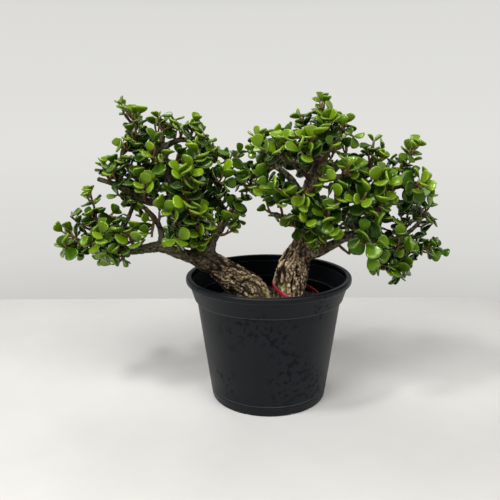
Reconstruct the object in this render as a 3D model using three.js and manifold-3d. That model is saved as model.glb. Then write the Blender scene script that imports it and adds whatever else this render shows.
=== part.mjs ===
import * as THREE from 'three';
import { mergeVertices } from 'three/addons/utils/BufferGeometryUtils.js';
import Module from 'manifold-3d';

const wasm = await Module();
wasm.setup();

// Driving dimensions in millimetres: the origin is the middle of the pot's flat underside, +Z is up
const CLEARANCE = 0.35;
const POT = {
  height: 153, rimRadius: 100, beadHeight: 7.5, beadEdge: 1.5, collarTopRadius: 96,
  collarHeight: 126, collarFootRadius: 90.5, bodyTopRadius: 87.5, baseRadius: 70.5, footEdge: 1.5,
  lineHeight: 11.5, lineDepth: 0.5, wall: 2.2, floor: 3, sides: 30,
  notches: 8, firstNotch: 0.5, notchWidth: 5, notchDepth: 3.5, notchHeight: 2,
  drains: 6, firstDrain: 0.25, drainRadius: 7, drainCircle: 46, drainSides: 8,
};
const SOIL = { top: 111, dome: 2.5, roughness: 0.8, rings: 2 };
const TIE = { radius: 33, thickness: 1, width: 4, tilt: 21, rise: 8, x: 35.8, y: 12, z: 126.9, segments: 24 };
const BARK = { trunkSides: 9, limbSides: 6, twigSides: 5, trunkRelief: 0.07, limbRelief: 0.05 };
const STEM = { samples: 6, baseRadius: 1.8, tipRadius: 1.4, sides: 3, sag: 0.1, stride: 24 };

// A leaf's outline as shares of its length and width, with its cup, droop and fleshy thickness
const LEAF = {
  waist: 0.42, waistHalf: 0.38, shoulder: 0.82, shoulderHalf: 0.46, crown: 0.56,
  roundness: 0.92, cup: 0.33, droop: 0.06, keel: 0.11, start: 0.35,
};
const PAIRS = { spacing: 0.98, lowest: 0.14, last: 0.98, tipSize: 0.8, nextSize: 0.95, grown: 1.12 };
const PLACING = {
  tries: 3, firstShare: 0.3, lastShare: 0.98, grid: 2.2, reach: 1.35, stemAllowance: 1.1, leafReach: 0.6,
  size: 0.12, turn: 0.22, turnStep: 0.12,
  fold: 0.16, foldStep: 0.06, shrink: 0.05, twist: 0.35, openAngle: 1.15, tipAngle: 0.6, lift: 0.35,
};

// Trunks and limbs: each point is x, y, z and the radius there
const LEFT_LIMBS = {
  trunk: [[-12, -13, 78, 17], [-13, -13, 100, 20.5], [-14, -12, 119, 21], [-26, -11, 139, 19.5],
    [-40, -10, 149, 16.5], [-54, -8, 158, 14], [-66, -6, 167, 12.5], [-78, -5, 174, 11]],
  low: [[-74, -5, 171, 10], [-92, -8, 176, 8], [-110, -10, 183, 6.8], [-127, -12, 190, 6.3],
    [-143, -14, 189, 5.8], [-160, -14, 186, 5], [-178, -12, 187, 4], [-195, -10, 189, 3.2],
    [-212, -8, 190, 2.4]],
  leader: [[-76, -5, 170, 10], [-86, 2, 190, 8], [-94, 7, 211, 7.2], [-101, 9, 233, 6.8],
    [-109, 9, 253, 6.2], [-119, 7, 272, 5.5], [-130, 5, 286, 5], [-132, 4, 297, 4.4],
    [-126, 2, 309, 3.6], [-121, 0, 320, 2.8]],
  right: [[-74, -5, 174, 8.5], [-67, -6, 195, 5.8], [-59, -8, 208, 5], [-51, -8, 220, 4], [-47, -7, 231, 3]],
  far: [[-106, 9, 246, 5.5], [-123, 6, 243, 5.4], [-140, 4, 241, 5], [-152, 4, 246, 4.6],
    [-166, 3, 254, 4], [-183, 2, 263, 3.4], [-200, 0, 269, 2.6]],
  inner: [[-126, -12, 190, 4.6], [-126, -14, 206, 3.6], [-130, -14, 219, 3.2], [-139, -12, 230, 2.8],
    [-147, -10, 238, 2.5]],
  twig: [[-174, -12, 187, 3.2], [-177, -8, 200, 2.8], [-171, -3, 213, 2.5], [-165, 0, 226, 2.6],
    [-162, 2, 235, 2.5]],
  high: [[-99, 8, 228, 5], [-82, 10, 250, 4.2], [-68, 10, 264, 3.6], [-59, 8, 275, 3], [-49, 5, 282, 2.7],
    [-41, 3, 288, 2.5]],
  top: [[-130, 4, 299, 4], [-119, 0, 306, 3.6], [-105, -3, 313, 3.2], [-93, -4, 313, 2.8],
    [-82, -2, 306, 2.7], [-68, 0, 299, 2.5]],
};
const RIGHT_LIMBS = {
  trunk: [[25, 13, 80, 16.5], [25, 13, 104, 19], [26, 12, 128, 19.5], [29, 10, 152, 19],
    [34, 8, 171, 15.5], [41, 5, 185, 11.5]],
  leader: [[41, 5, 180, 11], [42, 5, 201, 9.8], [41, 6, 222, 9.2], [45, 6, 243, 8.8], [50, 5, 261, 8.2],
    [58, 4, 280, 7.4], [64, 2, 295, 6], [70, 0, 308, 4.6], [77, -2, 316, 3.4], [84, -3, 322, 2.4]],
  low: [[42, 5, 176, 9], [60, -2, 181, 6.4], [73, -8, 189, 5.4], [85, -12, 197, 5], [98, -14, 203, 4.5],
    [114, -12, 202, 4], [132, -8, 196, 3.6], [147, -5, 196, 3.2], [160, 0, 198, 2.8], [171, 4, 205, 2.4],
    [180, 6, 213, 2.5], [183, 8, 222, 2.4]],
  inner: [[42, 7, 235, 5.5], [37, 12, 251, 4.8], [27, 14, 266, 4.2], [15, 14, 277, 3.6], [3, 12, 285, 2.8],
    [-4, 10, 293, 2.7], [-9, 8, 303, 2.5]],
  hanging: [[41, 2, 226, 4], [27, -8, 223, 2.6], [18, -12, 224, 2.6], [8, -14, 229, 2.5]],
  middle: [[41, 3, 213, 6.8], [58, -4, 227, 5.5], [78, -6, 238, 5], [98, -4, 245, 4.5], [119, 0, 250, 4],
    [138, 3, 254, 3.4], [155, 5, 258, 2.8], [167, 5, 261, 2.2]],
  upper: [[51, 4, 264, 5.5], [68, -2, 268, 4], [85, -6, 271, 3.5], [102, -5, 274, 3], [119, 0, 276, 2.6],
    [138, 4, 275, 2.6], [152, 5, 271, 2.5]],
  left: [[44, 3, 240, 5], [25, -4, 245, 3.2], [9, -8, 256, 2.8], [-6, -8, 262, 2.7], [-20, -6, 261, 2.5]],
};

// Where the crowns open when seen from the front: x and z on an upright plane through the limbs.
// Leaves keep out of the gaps, and those in front of the wood's depth keep off the bare stretches
const FRONT = { eye: [-22.4, -702.2, 351.4], plane: -5, woodDepth: 12 };
const GAPS = [
  [[-140, 239], [-132, 239], [-131, 232], [-134, 228], [-131, 222], [-135, 222], [-140, 231]],
  [[-144, 221], [-134, 216], [-131, 206], [-131, 198], [-140, 196], [-152, 195], [-143, 201], [-137, 207]],
  [[-122, 289], [-119, 287], [-116, 279], [-117, 270], [-120, 272], [-121, 281]],
  [[-119, 297], [-111, 297], [-112, 293], [-118, 293]],
  [[-137, 301], [-132, 301], [-133, 297], [-136, 297]],
  [[-159, 234], [-154, 232], [-152, 222], [-155, 217], [-159, 222]],
  [[-217, 214], [-211, 213], [-213, 205], [-216, 206]],
  [[-85, 309], [-77, 308], [-72, 302], [-76, 302]],
  [[-138, 334], [-131, 333], [-132, 328], [-137, 328]],
  [[-104, 336], [-94, 334], [-96, 330], [-103, 331]],
  [[25, 279], [30, 279], [33, 270], [37, 265], [38, 257], [34, 256], [32, 263], [27, 270]],
  [[60, 254], [66, 256], [72, 251], [68, 247], [62, 249]],
  [[147, 259], [153, 256], [158, 250], [158, 244], [150, 243], [149, 250]],
  [[140, 233], [150, 236], [154, 228], [150, 222], [143, 224]],
  [[134, 216], [143, 218], [146, 210], [140, 206], [136, 202], [133, 208]],
  [[164, 211], [176, 209], [172, 201], [163, 202]],
  [[83, 219], [87, 219], [87, 205], [84, 205]],
  [[70, 300], [80, 297], [77, 290], [70, 292]],
  [[3, 233], [14, 236], [26, 235], [28, 229], [20, 226], [8, 227]],
  [[-1, 279], [5, 277], [3, 272], [-2, 273]],
];
const BARE_WOOD = [
  [[-141, 229], [-128, 231], [-121, 216], [-117, 204], [-125, 200], [-131, 212]],
  [[-158, 188], [-151, 192], [-141, 196], [-129, 196], [-127, 189], [-113, 186], [-104, 181], [-92, 182],
    [-86, 170], [-97, 173], [-111, 177], [-125, 181], [-142, 181], [-158, 180]],
  [[-78, 184], [-69, 192], [-60, 206], [-56, 214], [-49, 215], [-50, 203], [-61, 191], [-71, 180]],
  [[-132, 297], [-126, 312], [-121, 320], [-117, 316], [-119, 307], [-124, 298]],
  [[-120, 306], [-110, 311], [-102, 320], [-100, 317], [-108, 308], [-118, 303]],
  [[-174, 262], [-162, 258], [-152, 253], [-141, 248], [-132, 243], [-134, 238], [-141, 237], [-150, 241],
    [-163, 250], [-176, 257]],
  [[-202, 273], [-190, 272], [-180, 268], [-180, 261], [-190, 264], [-202, 268]],
  [[-171, 222], [-168, 232], [-161, 238], [-159, 232], [-164, 222], [-166, 216]],
  [[55, 297], [64, 297], [64, 286], [60, 276], [54, 266], [50, 256], [40, 256], [41, 266], [48, 274],
    [54, 284]],
  [[2, 282], [22, 284], [36, 276], [40, 268], [38, 263], [30, 266], [17, 275], [3, 278]],
  [[53, 172], [64, 179], [80, 187], [90, 193], [101, 202], [108, 214], [101, 216], [93, 207], [83, 198],
    [68, 188], [56, 182]],
  [[5, 150], [10, 172], [26, 184], [38, 190], [50, 182], [56, 178], [52, 160], [50, 150]],
];

// A shoot runs through its points; a side shoot starts at a share of the spray's first shoot
const shoot = (pairs, leaf, ...points) => ({ pairs, leaf, points });
const side = (from, pairs, leaf, ...points) => ({ from, pairs, leaf, points });

const LEFT_SPRAYS = [
  [shoot(5, 13, [-152, 4, 246], [-151, -2, 273], [-151, -8, 310], [-151, -12, 345]),
    side(0.9, 2, 11, [-164, -16, 354]), side(0.6, 2, 11, [-168, -20, 308])],
  [shoot(3, 10, [-121, 0, 318], [-127, 0, 339]), side(0.25, 2, 12, [-105, -8, 337]),
    side(0.1, 2, 13, [-143, 32, 322])],
  [shoot(3, 13, [-103, -3, 313], [-97, -16, 329])],
  [shoot(3, 11, [-92, -4, 312], [-84, -8, 335]), side(0.2, 2, 14, [-72, -8, 311])],
  [shoot(3, 16, [-76, 10, 256], [-80, -20, 278], [-80, -38, 304]), side(0.25, 2, 15, [-52, -22, 265])],
  [shoot(3, 18, [-97, 8, 219], [-92, -34, 246], [-96, -56, 282])],
  [shoot(2, 18, [-68, -6, 192], [-81, -32, 213], [-90, -52, 246])],
  [shoot(2, 17, [-89, 4, 199], [-110, -50, 238]), side(0.35, 2, 17, [-107, -46, 208])],
  [shoot(2, 11, [-64, -7, 200], [-64, -36, 221]), side(0.3, 2, 10, [-44, -16, 209])],
  [shoot(3, 14, [-47, -7, 230], [-31, -8, 244]), side(0.2, 2, 12, [-36, -2, 220])],
  [shoot(3, 13, [-42, 3, 287], [-34, 0, 298]), side(0.12, 2, 13, [-58, 6, 296])],
  [shoot(3, 12, [-69, 0, 299], [-55, 2, 299])],
  [shoot(3, 12, [-184, 2, 263], [-192, -6, 284]), side(0.3, 2, 14, [-171, -20, 291])],
  [shoot(2, 17, [-146, 4, 243], [-140, -44, 268]), side(0.25, 2, 13, [-158, -16, 285])],
  [shoot(3, 14, [-130, 5, 286], [-136, -24, 302]), side(0.3, 2, 13, [-118, -36, 292])],
  [shoot(3, 13, [-131, -14, 221], [-140, -28, 240]), side(0.25, 2, 14, [-136, -24, 204])],
  [shoot(3, 11, [-162, 2, 234], [-163, -2, 247])],
  [shoot(2, 15, [-158, -14, 186], [-161, -34, 213]), side(0.35, 2, 14, [-142, -36, 204])],
  [shoot(5, 13, [-195, -10, 189], [-200, -12, 210], [-203, -10, 233], [-208, -10, 255]),
    side(0.45, 2, 12, [-184, -2, 229]), side(0.3, 2, 9, [-232, -2, 223]), side(0.1, 2, 16, [-189, -46, 214])],
  [shoot(2, 16, [-211, -8, 190], [-227, -12, 201], [-241, -18, 210]), side(0.3, 2, 15, [-236, -24, 192]),
    side(0.12, 2, 13, [-227, -2, 181])],
  [shoot(3, 12, [-172, -13, 187], [-195, -28, 181]), side(0.3, 2, 12, [-167, -34, 182])],
  [shoot(2, 15, [-109, 9, 252], [-89, 50, 241]), side(0.3, 4, 15, [-134, 62, 273])],
  [shoot(3, 15, [-92, 6, 206], [-124, 58, 195]), side(0.3, 2, 14, [-76, 56, 209])],
  [shoot(3, 14, [-158, 4, 248], [-172, 52, 240]), side(0.15, 2, 13, [-176, -12, 252])],
  [shoot(3, 14, [-83, -2, 306], [-77, 44, 287])],
  [shoot(3, 14, [-180, -12, 187], [-210, 38, 192])],
];
const RIGHT_SPRAYS = [
  [shoot(5, 14, [65, 2, 297], [61, -4, 326], [60, -5, 357]), side(0.2, 2, 15, [64, -36, 335])],
  [shoot(3, 14, [61, 3, 288], [49, 2, 320], [35, 2, 338]), side(0.45, 2, 12, [13, -6, 322])],
  [shoot(2, 17, [58, 4, 279], [43, -46, 317]), side(0.35, 2, 16, [42, -52, 299]),
    side(0.25, 2, 14, [65, -34, 303])],
  [shoot(3, 14, [82, -3, 320], [89, 0, 332]), side(0.2, 2, 14, [95, -12, 317])],
  [shoot(3, 13, [-9, 8, 302], [-15, 4, 317]), side(0.25, 2, 11, [-4, 10, 316]),
    side(0.1, 2, 13, [-18, -8, 302])],
  [shoot(5, 14, [51, 5, 263], [23, -26, 291], [-7, -36, 305]), side(0.45, 2, 14, [19, -30, 313])],
  [shoot(3, 14, [85, -6, 271], [91, 4, 304]), side(0.3, 2, 12, [70, -6, 290]),
    side(0.22, 2, 13, [87, -50, 278])],
  [shoot(3, 13, [119, 0, 276], [121, 0, 311]), side(0.15, 2, 8, [133, -8, 293])],
  [shoot(5, 13, [151, 5, 271], [159, 2, 287], [168, 0, 309])],
  [shoot(2, 19, [132, 2, 253], [118, -48, 271]), side(0.25, 2, 14, [140, -26, 247])],
  [shoot(2, 18, [166, 5, 261], [168, -34, 267]), side(0.2, 2, 14, [184, -10, 250])],
  [shoot(2, 15, [101, -4, 246], [98, -58, 250]), side(0.3, 2, 17, [121, -48, 234])],
  [shoot(2, 16, [69, -5, 233], [64, -48, 226]), side(0.3, 2, 16, [76, -48, 251])],
  [shoot(2, 15, [48, 5, 255], [61, -46, 273]), side(0.35, 2, 16, [34, -50, 252])],
  [shoot(3, 12, [-19, -6, 261], [-33, -8, 264]), side(0.1, 4, 12, [-23, -2, 280])],
  [shoot(3, 13, [19, -6, 248], [16, -40, 261]), side(0.35, 2, 17, [9, -40, 241]),
    side(0.3, 2, 14, [-5, -34, 264])],
  [shoot(3, 13, [9, -14, 229], [-4, -16, 234])],
  [shoot(3, 13, [42, 5, 208], [41, -42, 231]), side(0.4, 2, 13, [24, -22, 218])],
  [shoot(2, 15, [64, -4, 184], [64, -38, 204])],
  [shoot(2, 21, [108, -13, 203], [106, -62, 203])],
  [shoot(3, 14, [138, -7, 196], [156, -10, 180], [162, -12, 167], [153, -14, 151]),
    side(0.25, 2, 13, [126, -24, 166])],
  [shoot(5, 14, [148, -5, 196], [172, -10, 190], [206, -8, 181]), side(0.1, 2, 12, [144, -42, 190])],
  [shoot(3, 12, [183, 8, 221], [192, 6, 233]), side(0.15, 2, 13, [195, 0, 218])],
  [shoot(4, 11, [162, 1, 199], [169, 10, 235]), side(0.25, 2, 13, [146, -6, 224])],
  [shoot(3, 14, [55, 4, 274], [84, 44, 298]), side(0.3, 4, 15, [35, 58, 280])],
  [shoot(3, 15, [110, -2, 248], [100, 58, 246]), side(0.3, 2, 14, [162, 50, 240])],
  [shoot(3, 14, [114, -12, 202], [110, 14, 204], [98, 50, 212]), side(0.4, 2, 13, [152, 38, 198])],
  [shoot(3, 14, [42, 5, 206], [29, 56, 214]), side(0.4, 2, 14, [72, 50, 206])],
  [shoot(3, 13, [15, 14, 277], [0, 58, 268])],
];

const Y_AXIS = new THREE.Vector3(0, 1, 0);
const Z_AXIS = new THREE.Vector3(0, 0, 1);
const vector = (point) => new THREE.Vector3(point[0], point[1], point[2]);

// The same draws come from the same seed: a linear congruence modulo 2 to the 32
function randomSource(seed) {
  let state = seed;
  return () => {
    state = (Math.imul(state, 1664525) + 1013904223) >>> 0;
    return state / 4294967296;
  };
}

const smoothCurve = (points) => new THREE.CatmullRomCurve3(points, false, 'catmullrom', 0.5);

// A curve through points, with steady axes across it and a radius that runs from point to point
function strand(points, radii) {
  const curve = smoothCurve(points);
  const whole = points[points.length - 1].clone().sub(points[0]).normalize();
  const reference = Math.abs(whole.y) > 0.75 ? Z_AXIS : Y_AXIS;
  const radiusAt = (t) => {
    const place = t * (radii.length - 1);
    const start = Math.min(Math.floor(place), radii.length - 2);
    return THREE.MathUtils.lerp(radii[start], radii[start + 1], place - start);
  };
  const frameAt = (t) => {
    const tangent = curve.getTangent(t);
    const across = tangent.clone().cross(reference).normalize();
    return { origin: curve.getPoint(t), tangent, across, up: across.clone().cross(tangent) };
  };
  return { curve, radiusAt, frameAt, length: curve.getLength() };
}

// A closed tube: a capped cylinder whose height follows a strand
function tube(path, sides, rings, relief, grow) {
  const geometry = new THREE.CylinderGeometry(1, 1, 1, sides, rings);
  const position = geometry.attributes.position;
  for (let i = 0; i < position.count; i++) {
    const t = THREE.MathUtils.clamp(position.getY(i) + 0.5, 0, 1);
    const frame = path.frameAt(t);
    const angle = Math.atan2(position.getZ(i), position.getX(i));
    const lobes = Math.sin(3 * angle + 5 * t) + Math.cos(2 * angle - 9 * t);
    const radius = path.radiusAt(t) * (1 + relief * lobes) + grow;
    const point = frame.origin.clone();
    point.addScaledVector(frame.across, position.getX(i) * radius);
    point.addScaledVector(frame.up, position.getZ(i) * radius);
    position.setXYZ(i, point.x, point.y, point.z);
  }
  return geometry;
}

function solid(geometry) {
  geometry.deleteAttribute('normal');
  geometry.deleteAttribute('uv');
  const merged = mergeVertices(geometry, 1e-4);
  const vertProperties = new Float32Array(merged.attributes.position.array);
  const triVerts = new Uint32Array(merged.index.array);
  return new wasm.Manifold(new wasm.Mesh({ numProp: 3, vertProperties, triVerts }));
}

function surface(body) {
  const mesh = body.getMesh();
  const geometry = new THREE.BufferGeometry();
  geometry.setAttribute('position', new THREE.BufferAttribute(new Float32Array(mesh.vertProperties), 3));
  geometry.setIndex(new THREE.BufferAttribute(new Uint32Array(mesh.triVerts), 1));
  geometry.computeVertexNormals();
  return geometry;
}

// The pot: one turned shell with a rolled bead, a collar, a step, a fine line and notches at its foot
function potProfile() {
  const p = POT;
  const lineShare = p.lineHeight / p.collarHeight;
  const lineRadius = THREE.MathUtils.lerp(p.baseRadius, p.bodyTopRadius, lineShare);
  const beadFoot = p.height - p.beadHeight;
  const outer = [
    [0, 0], [p.baseRadius - p.footEdge, 0], [p.baseRadius, p.footEdge],
    [lineRadius, p.lineHeight - p.lineDepth], [lineRadius - p.lineDepth, p.lineHeight],
    [lineRadius + p.lineDepth / 2, p.lineHeight + p.lineDepth],
    [p.bodyTopRadius, p.collarHeight], [p.collarFootRadius, p.collarHeight + 1],
    [p.collarTopRadius, beadFoot], [p.rimRadius - p.beadEdge, beadFoot],
    [p.rimRadius, beadFoot + p.beadEdge], [p.rimRadius, p.height - p.beadEdge],
    [p.rimRadius - p.beadEdge, p.height],
  ];
  const inner = [
    [p.collarTopRadius - 0.5, p.height], [p.collarTopRadius - p.wall, p.height - p.beadEdge],
    [p.collarTopRadius - p.wall, beadFoot], [p.collarFootRadius - p.wall, p.collarHeight + p.wall],
    [p.bodyTopRadius - p.wall, p.collarHeight], [p.baseRadius - p.wall, p.floor], [0, p.floor],
  ];
  return outer.concat(inner).map(([radius, height]) => new THREE.Vector2(radius, height));
}

function turned(profile, sides) {
  return new THREE.LatheGeometry(profile, sides).rotateX(Math.PI / 2);
}

function nurseryPot() {
  let pot = solid(turned(potProfile(), POT.sides));
  for (let i = 0; i < POT.notches; i++) {
    const notch = new THREE.BoxGeometry(POT.notchDepth * 2, POT.notchWidth, POT.notchHeight * 2);
    notch.translate(POT.baseRadius, 0, 0).rotateZ((2 * Math.PI * (i + POT.firstNotch)) / POT.notches);
    pot = pot.subtract(solid(notch));
  }
  for (let i = 0; i < POT.drains; i++) {
    const drain = new THREE.CylinderGeometry(POT.drainRadius, POT.drainRadius, POT.floor * 3, POT.drainSides);
    drain.rotateX(Math.PI / 2).translate(POT.drainCircle, 0, 0);
    drain.rotateZ((2 * Math.PI * (i + POT.firstDrain)) / POT.drains);
    pot = pot.subtract(solid(drain));
  }
  return pot;
}

// The soil fills the pot to a low, rough dome, with a plain hole for each trunk
function soilFill(holes) {
  const wallAt = (height) => THREE.MathUtils.mapLinear(
    height, POT.floor, POT.collarHeight, POT.baseRadius, POT.bodyTopRadius) - POT.wall - CLEARANCE;
  const foot = POT.floor + CLEARANCE;
  const edge = wallAt(SOIL.top);
  const profile = [new THREE.Vector2(0, foot), new THREE.Vector2(wallAt(foot), foot)];
  for (let i = 0; i <= SOIL.rings; i++) {
    const share = 1 - i / SOIL.rings;
    profile.push(new THREE.Vector2(edge * share, SOIL.top + SOIL.dome * (1 - share * share)));
  }
  const geometry = turned(profile, POT.sides / 2);
  const position = geometry.attributes.position;
  for (let i = 0; i < position.count; i++) {
    const x = position.getX(i);
    const y = position.getY(i);
    const radius = Math.hypot(x, y);
    if (position.getZ(i) > SOIL.top - 1 && radius < edge - 1) {
      const bump = SOIL.roughness * (Math.sin(0.21 * x + 1) + Math.cos(0.17 * y - 0.13 * x));
      position.setZ(i, position.getZ(i) + bump);
    }
  }
  return holes.reduce((body, hole) => body.subtract(hole), solid(geometry));
}

function tieRing() {
  const half = TIE.width / 2;
  const inside = TIE.radius - TIE.thickness;
  const section = [[inside, -half], [TIE.radius, -half], [TIE.radius, half], [inside, half], [inside, -half]];
  const ring = turned(section.map(([radius, height]) => new THREE.Vector2(radius, height)), TIE.segments);
  ring.rotateY(THREE.MathUtils.degToRad(TIE.tilt)).rotateX(THREE.MathUtils.degToRad(TIE.rise));
  return solid(ring.translate(TIE.x, TIE.y, TIE.z));
}

// A tree's wood: trunk, limbs and twigs grown together, or the same a little thicker to cut by
function wood(limbs, grow) {
  let body = null;
  for (const points of Object.values(limbs)) {
    const path = limbStrand(points);
    const isTrunk = points === limbs.trunk;
    const isTwig = points[0][3] < 5;
    const sides = isTrunk ? BARK.trunkSides : isTwig ? BARK.twigSides : BARK.limbSides;
    const rings = (points.length - 1) * (isTrunk ? 2 : 1);
    const limb = solid(tube(path, sides, rings, isTrunk ? BARK.trunkRelief : BARK.limbRelief, grow));
    body = body ? body.add(limb) : limb;
  }
  return body;
}

function limbStrand(points) {
  return strand(points.map(vector), points.map((point) => point[3]));
}

// Shoots: the first one leaves the wood, the others leave the first one
function shootStrands(spray) {
  const strands = [];
  for (const item of spray) {
    const points = item.points.map(vector);
    if (item.from !== undefined) points.unshift(strands[0].pointAt(item.from));
    if (points.length === 2) {
      const [start, end] = points;
      const middle = start.clone().lerp(end, 0.5);
      const run = Math.hypot(end.x - start.x, end.y - start.y);
      middle.z += end.z > start.z ? -STEM.sag * run : STEM.sag * run;
      points.splice(1, 0, middle);
    }
    strands.push(straightened(smoothCurve(points)));
  }
  return strands;
}

// A shoot's stem is a row of straight pieces, so that its leaves grow from the stem's own middle
function straightened(curve) {
  const pieces = Math.max(2, Math.round(curve.getLength() / STEM.stride));
  const points = curve.getPoints(pieces);
  const path = strand(points, [STEM.baseRadius, STEM.tipRadius]);
  path.pieces = pieces;
  path.pointAt = (t) => {
    const start = Math.min(Math.floor(t * pieces), pieces - 1);
    return points[start].clone().lerp(points[start + 1], t * pieces - start);
  };
  return path;
}

// The leaf's half width as a share of its width, at a share of its length
function halfWidth(share) {
  const steps = [[0, 0], [LEAF.waist, LEAF.waistHalf], [LEAF.shoulder, LEAF.shoulderHalf], [1, 0]];
  let i = 0;
  while (i < steps.length - 2 && share > steps[i + 1][0]) i++;
  return THREE.MathUtils.mapLinear(share, steps[i][0], steps[i + 1][0], steps[i][1], steps[i + 1][1]);
}

// A point of the leaf, from shares of its length and width and a height over its middle surface
function leafPoint(leaf, along, across, height) {
  const bend = LEAF.cup * across * across * leaf.width - LEAF.droop * along * along * leaf.length;
  const point = leaf.root.clone().addScaledVector(leaf.direction, along * leaf.length);
  return point.addScaledVector(leaf.across, across * leaf.width).addScaledVector(leaf.normal, bend + height);
}

// A leaf's body: a six-sided dish with a keel, root and tip at its ends, drawn out from a unit polyhedron
const LEAF_CORNERS = [-1, 0, 0, -0.5, 0, 0.9, 0.5, 0, 0.9, 1, 0, 0, 0.5, 0, -0.9, -0.5, 0, -0.9, 0, -1, 0];
const LEAF_FACES = [0, 1, 5, 1, 4, 5, 1, 2, 4, 2, 3, 4, 1, 0, 6, 2, 1, 6, 3, 2, 6, 4, 3, 6, 5, 4, 6, 0, 5, 6];

function leafSolid(leaf) {
  const geometry = new THREE.PolyhedronGeometry(LEAF_CORNERS, LEAF_FACES, 1, 0);
  const position = geometry.attributes.position;
  for (let i = 0; i < position.count; i++) {
    const x = position.getX(i);
    let point;
    if (position.getY(i) < -0.5) {
      point = leafPoint(leaf, LEAF.crown, 0, -LEAF.keel * leaf.length);
    } else if (Math.abs(x) > 0.9) {
      point = leafPoint(leaf, x > 0 ? 1 : LEAF.start / leaf.length, 0, 0);
    } else {
      const along = x > 0 ? LEAF.shoulder : LEAF.waist;
      point = leafPoint(leaf, along, -Math.sign(position.getZ(i)) * halfWidth(along), 0);
    }
    position.setXYZ(i, point.x, point.y, point.z);
  }
  return solid(geometry);
}

function leafSamples(leaf) {
  const samples = [];
  const rows = Math.ceil(((1 - PLACING.firstShare) * leaf.length) / PLACING.grid);
  for (let i = 0; i <= rows; i++) {
    const along = THREE.MathUtils.lerp(PLACING.firstShare, PLACING.lastShare, i / rows);
    const half = halfWidth(along);
    const columns = Math.max(1, Math.ceil((half * leaf.width) / PLACING.grid));
    for (let j = -columns; j <= columns; j++) {
      samples.push(leafPoint(leaf, along, (half * j) / columns, 0));
    }
  }
  return samples;
}

function segmentDistance(point, a, b) {
  const run = b.clone().sub(a);
  const offset = point.clone().sub(a);
  const t = THREE.MathUtils.clamp(offset.dot(run) / run.lengthSq(), 0, 1);
  return offset.addScaledVector(run, -t).length();
}

// The straight pieces of a strand, each with its thicker end's radius
function capsules(path, count) {
  const pieces = [];
  for (let i = 0; i < count; i++) {
    const radius = path.radiusAt(i / count) * PLACING.stemAllowance;
    pieces.push({ a: path.curve.getPoint(i / count), b: path.curve.getPoint((i + 1) / count), radius, path });
  }
  return pieces;
}

function isClear(samples, centre, reach, own, stems, leaves) {
  for (const stem of stems) {
    if (stem.path === own) continue;
    if (segmentDistance(centre, stem.a, stem.b) > reach + stem.radius + PLACING.reach) continue;
    if (samples.some((s) => segmentDistance(s, stem.a, stem.b) < stem.radius + PLACING.reach)) return false;
  }
  const least = 4 * PLACING.reach * PLACING.reach;
  for (const leaf of leaves) {
    if (leaf.centre.distanceTo(centre) > leaf.reach + reach + 2 * PLACING.reach) continue;
    if (samples.some((s) => leaf.samples.some((q) => q.distanceToSquared(s) < least))) return false;
  }
  return true;
}

// Whether a spot lies inside a closed outline, by counting the edges to its right
function isInside(outline, x, z) {
  let inside = false;
  outline.forEach(([x1, z1], i) => {
    const [x2, z2] = outline[(i + 1) % outline.length];
    if ((z1 > z) !== (z2 > z) && x < x1 + ((z - z1) * (x2 - x1)) / (z2 - z1)) inside = !inside;
  });
  return inside;
}

// Whether any of a leaf's points would fill a gap or hide bare wood from the front
function fillsGap(samples) {
  const [eyeX, eyeY, eyeZ] = FRONT.eye;
  return samples.some((s) => {
    const share = (FRONT.plane - eyeY) / (s.y - eyeY);
    const x = THREE.MathUtils.lerp(eyeX, s.x, share);
    const z = THREE.MathUtils.lerp(eyeZ, s.z, share);
    const outlines = s.y < FRONT.woodDepth ? GAPS.concat(BARE_WOOD) : GAPS;
    return outlines.some((outline) => isInside(outline, x, z));
  });
}

// One try at a leaf: each further try turns and folds it more, and makes it a little smaller
function leafTry(path, t, azimuth, angle, size, attempt, draw) {
  const frame = path.frameAt(t);
  const jitter = () => 2 * draw() - 1;
  const turn = azimuth + jitter() * (PLACING.turn + PLACING.turnStep * attempt);
  const open = angle + jitter() * (PLACING.fold + PLACING.foldStep * attempt);
  const length = size * (1 + PLACING.size * jitter()) * (1 - PLACING.shrink * attempt);
  const twist = PLACING.twist * jitter();
  const radial = frame.across.clone().multiplyScalar(Math.cos(turn));
  radial.addScaledVector(frame.up, Math.sin(turn));
  const direction = frame.tangent.clone().multiplyScalar(Math.cos(open));
  direction.addScaledVector(radial, Math.sin(open));
  const facing = frame.tangent.clone().addScaledVector(Z_AXIS, PLACING.lift);
  facing.addScaledVector(frame.up, twist).addScaledVector(frame.across, twist);
  const normal = facing.addScaledVector(direction, -facing.dot(direction)).normalize();
  const across = normal.clone().cross(direction);
  return { root: path.pointAt(t), direction, normal, across, length, width: length * LEAF.roundness };
}

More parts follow.
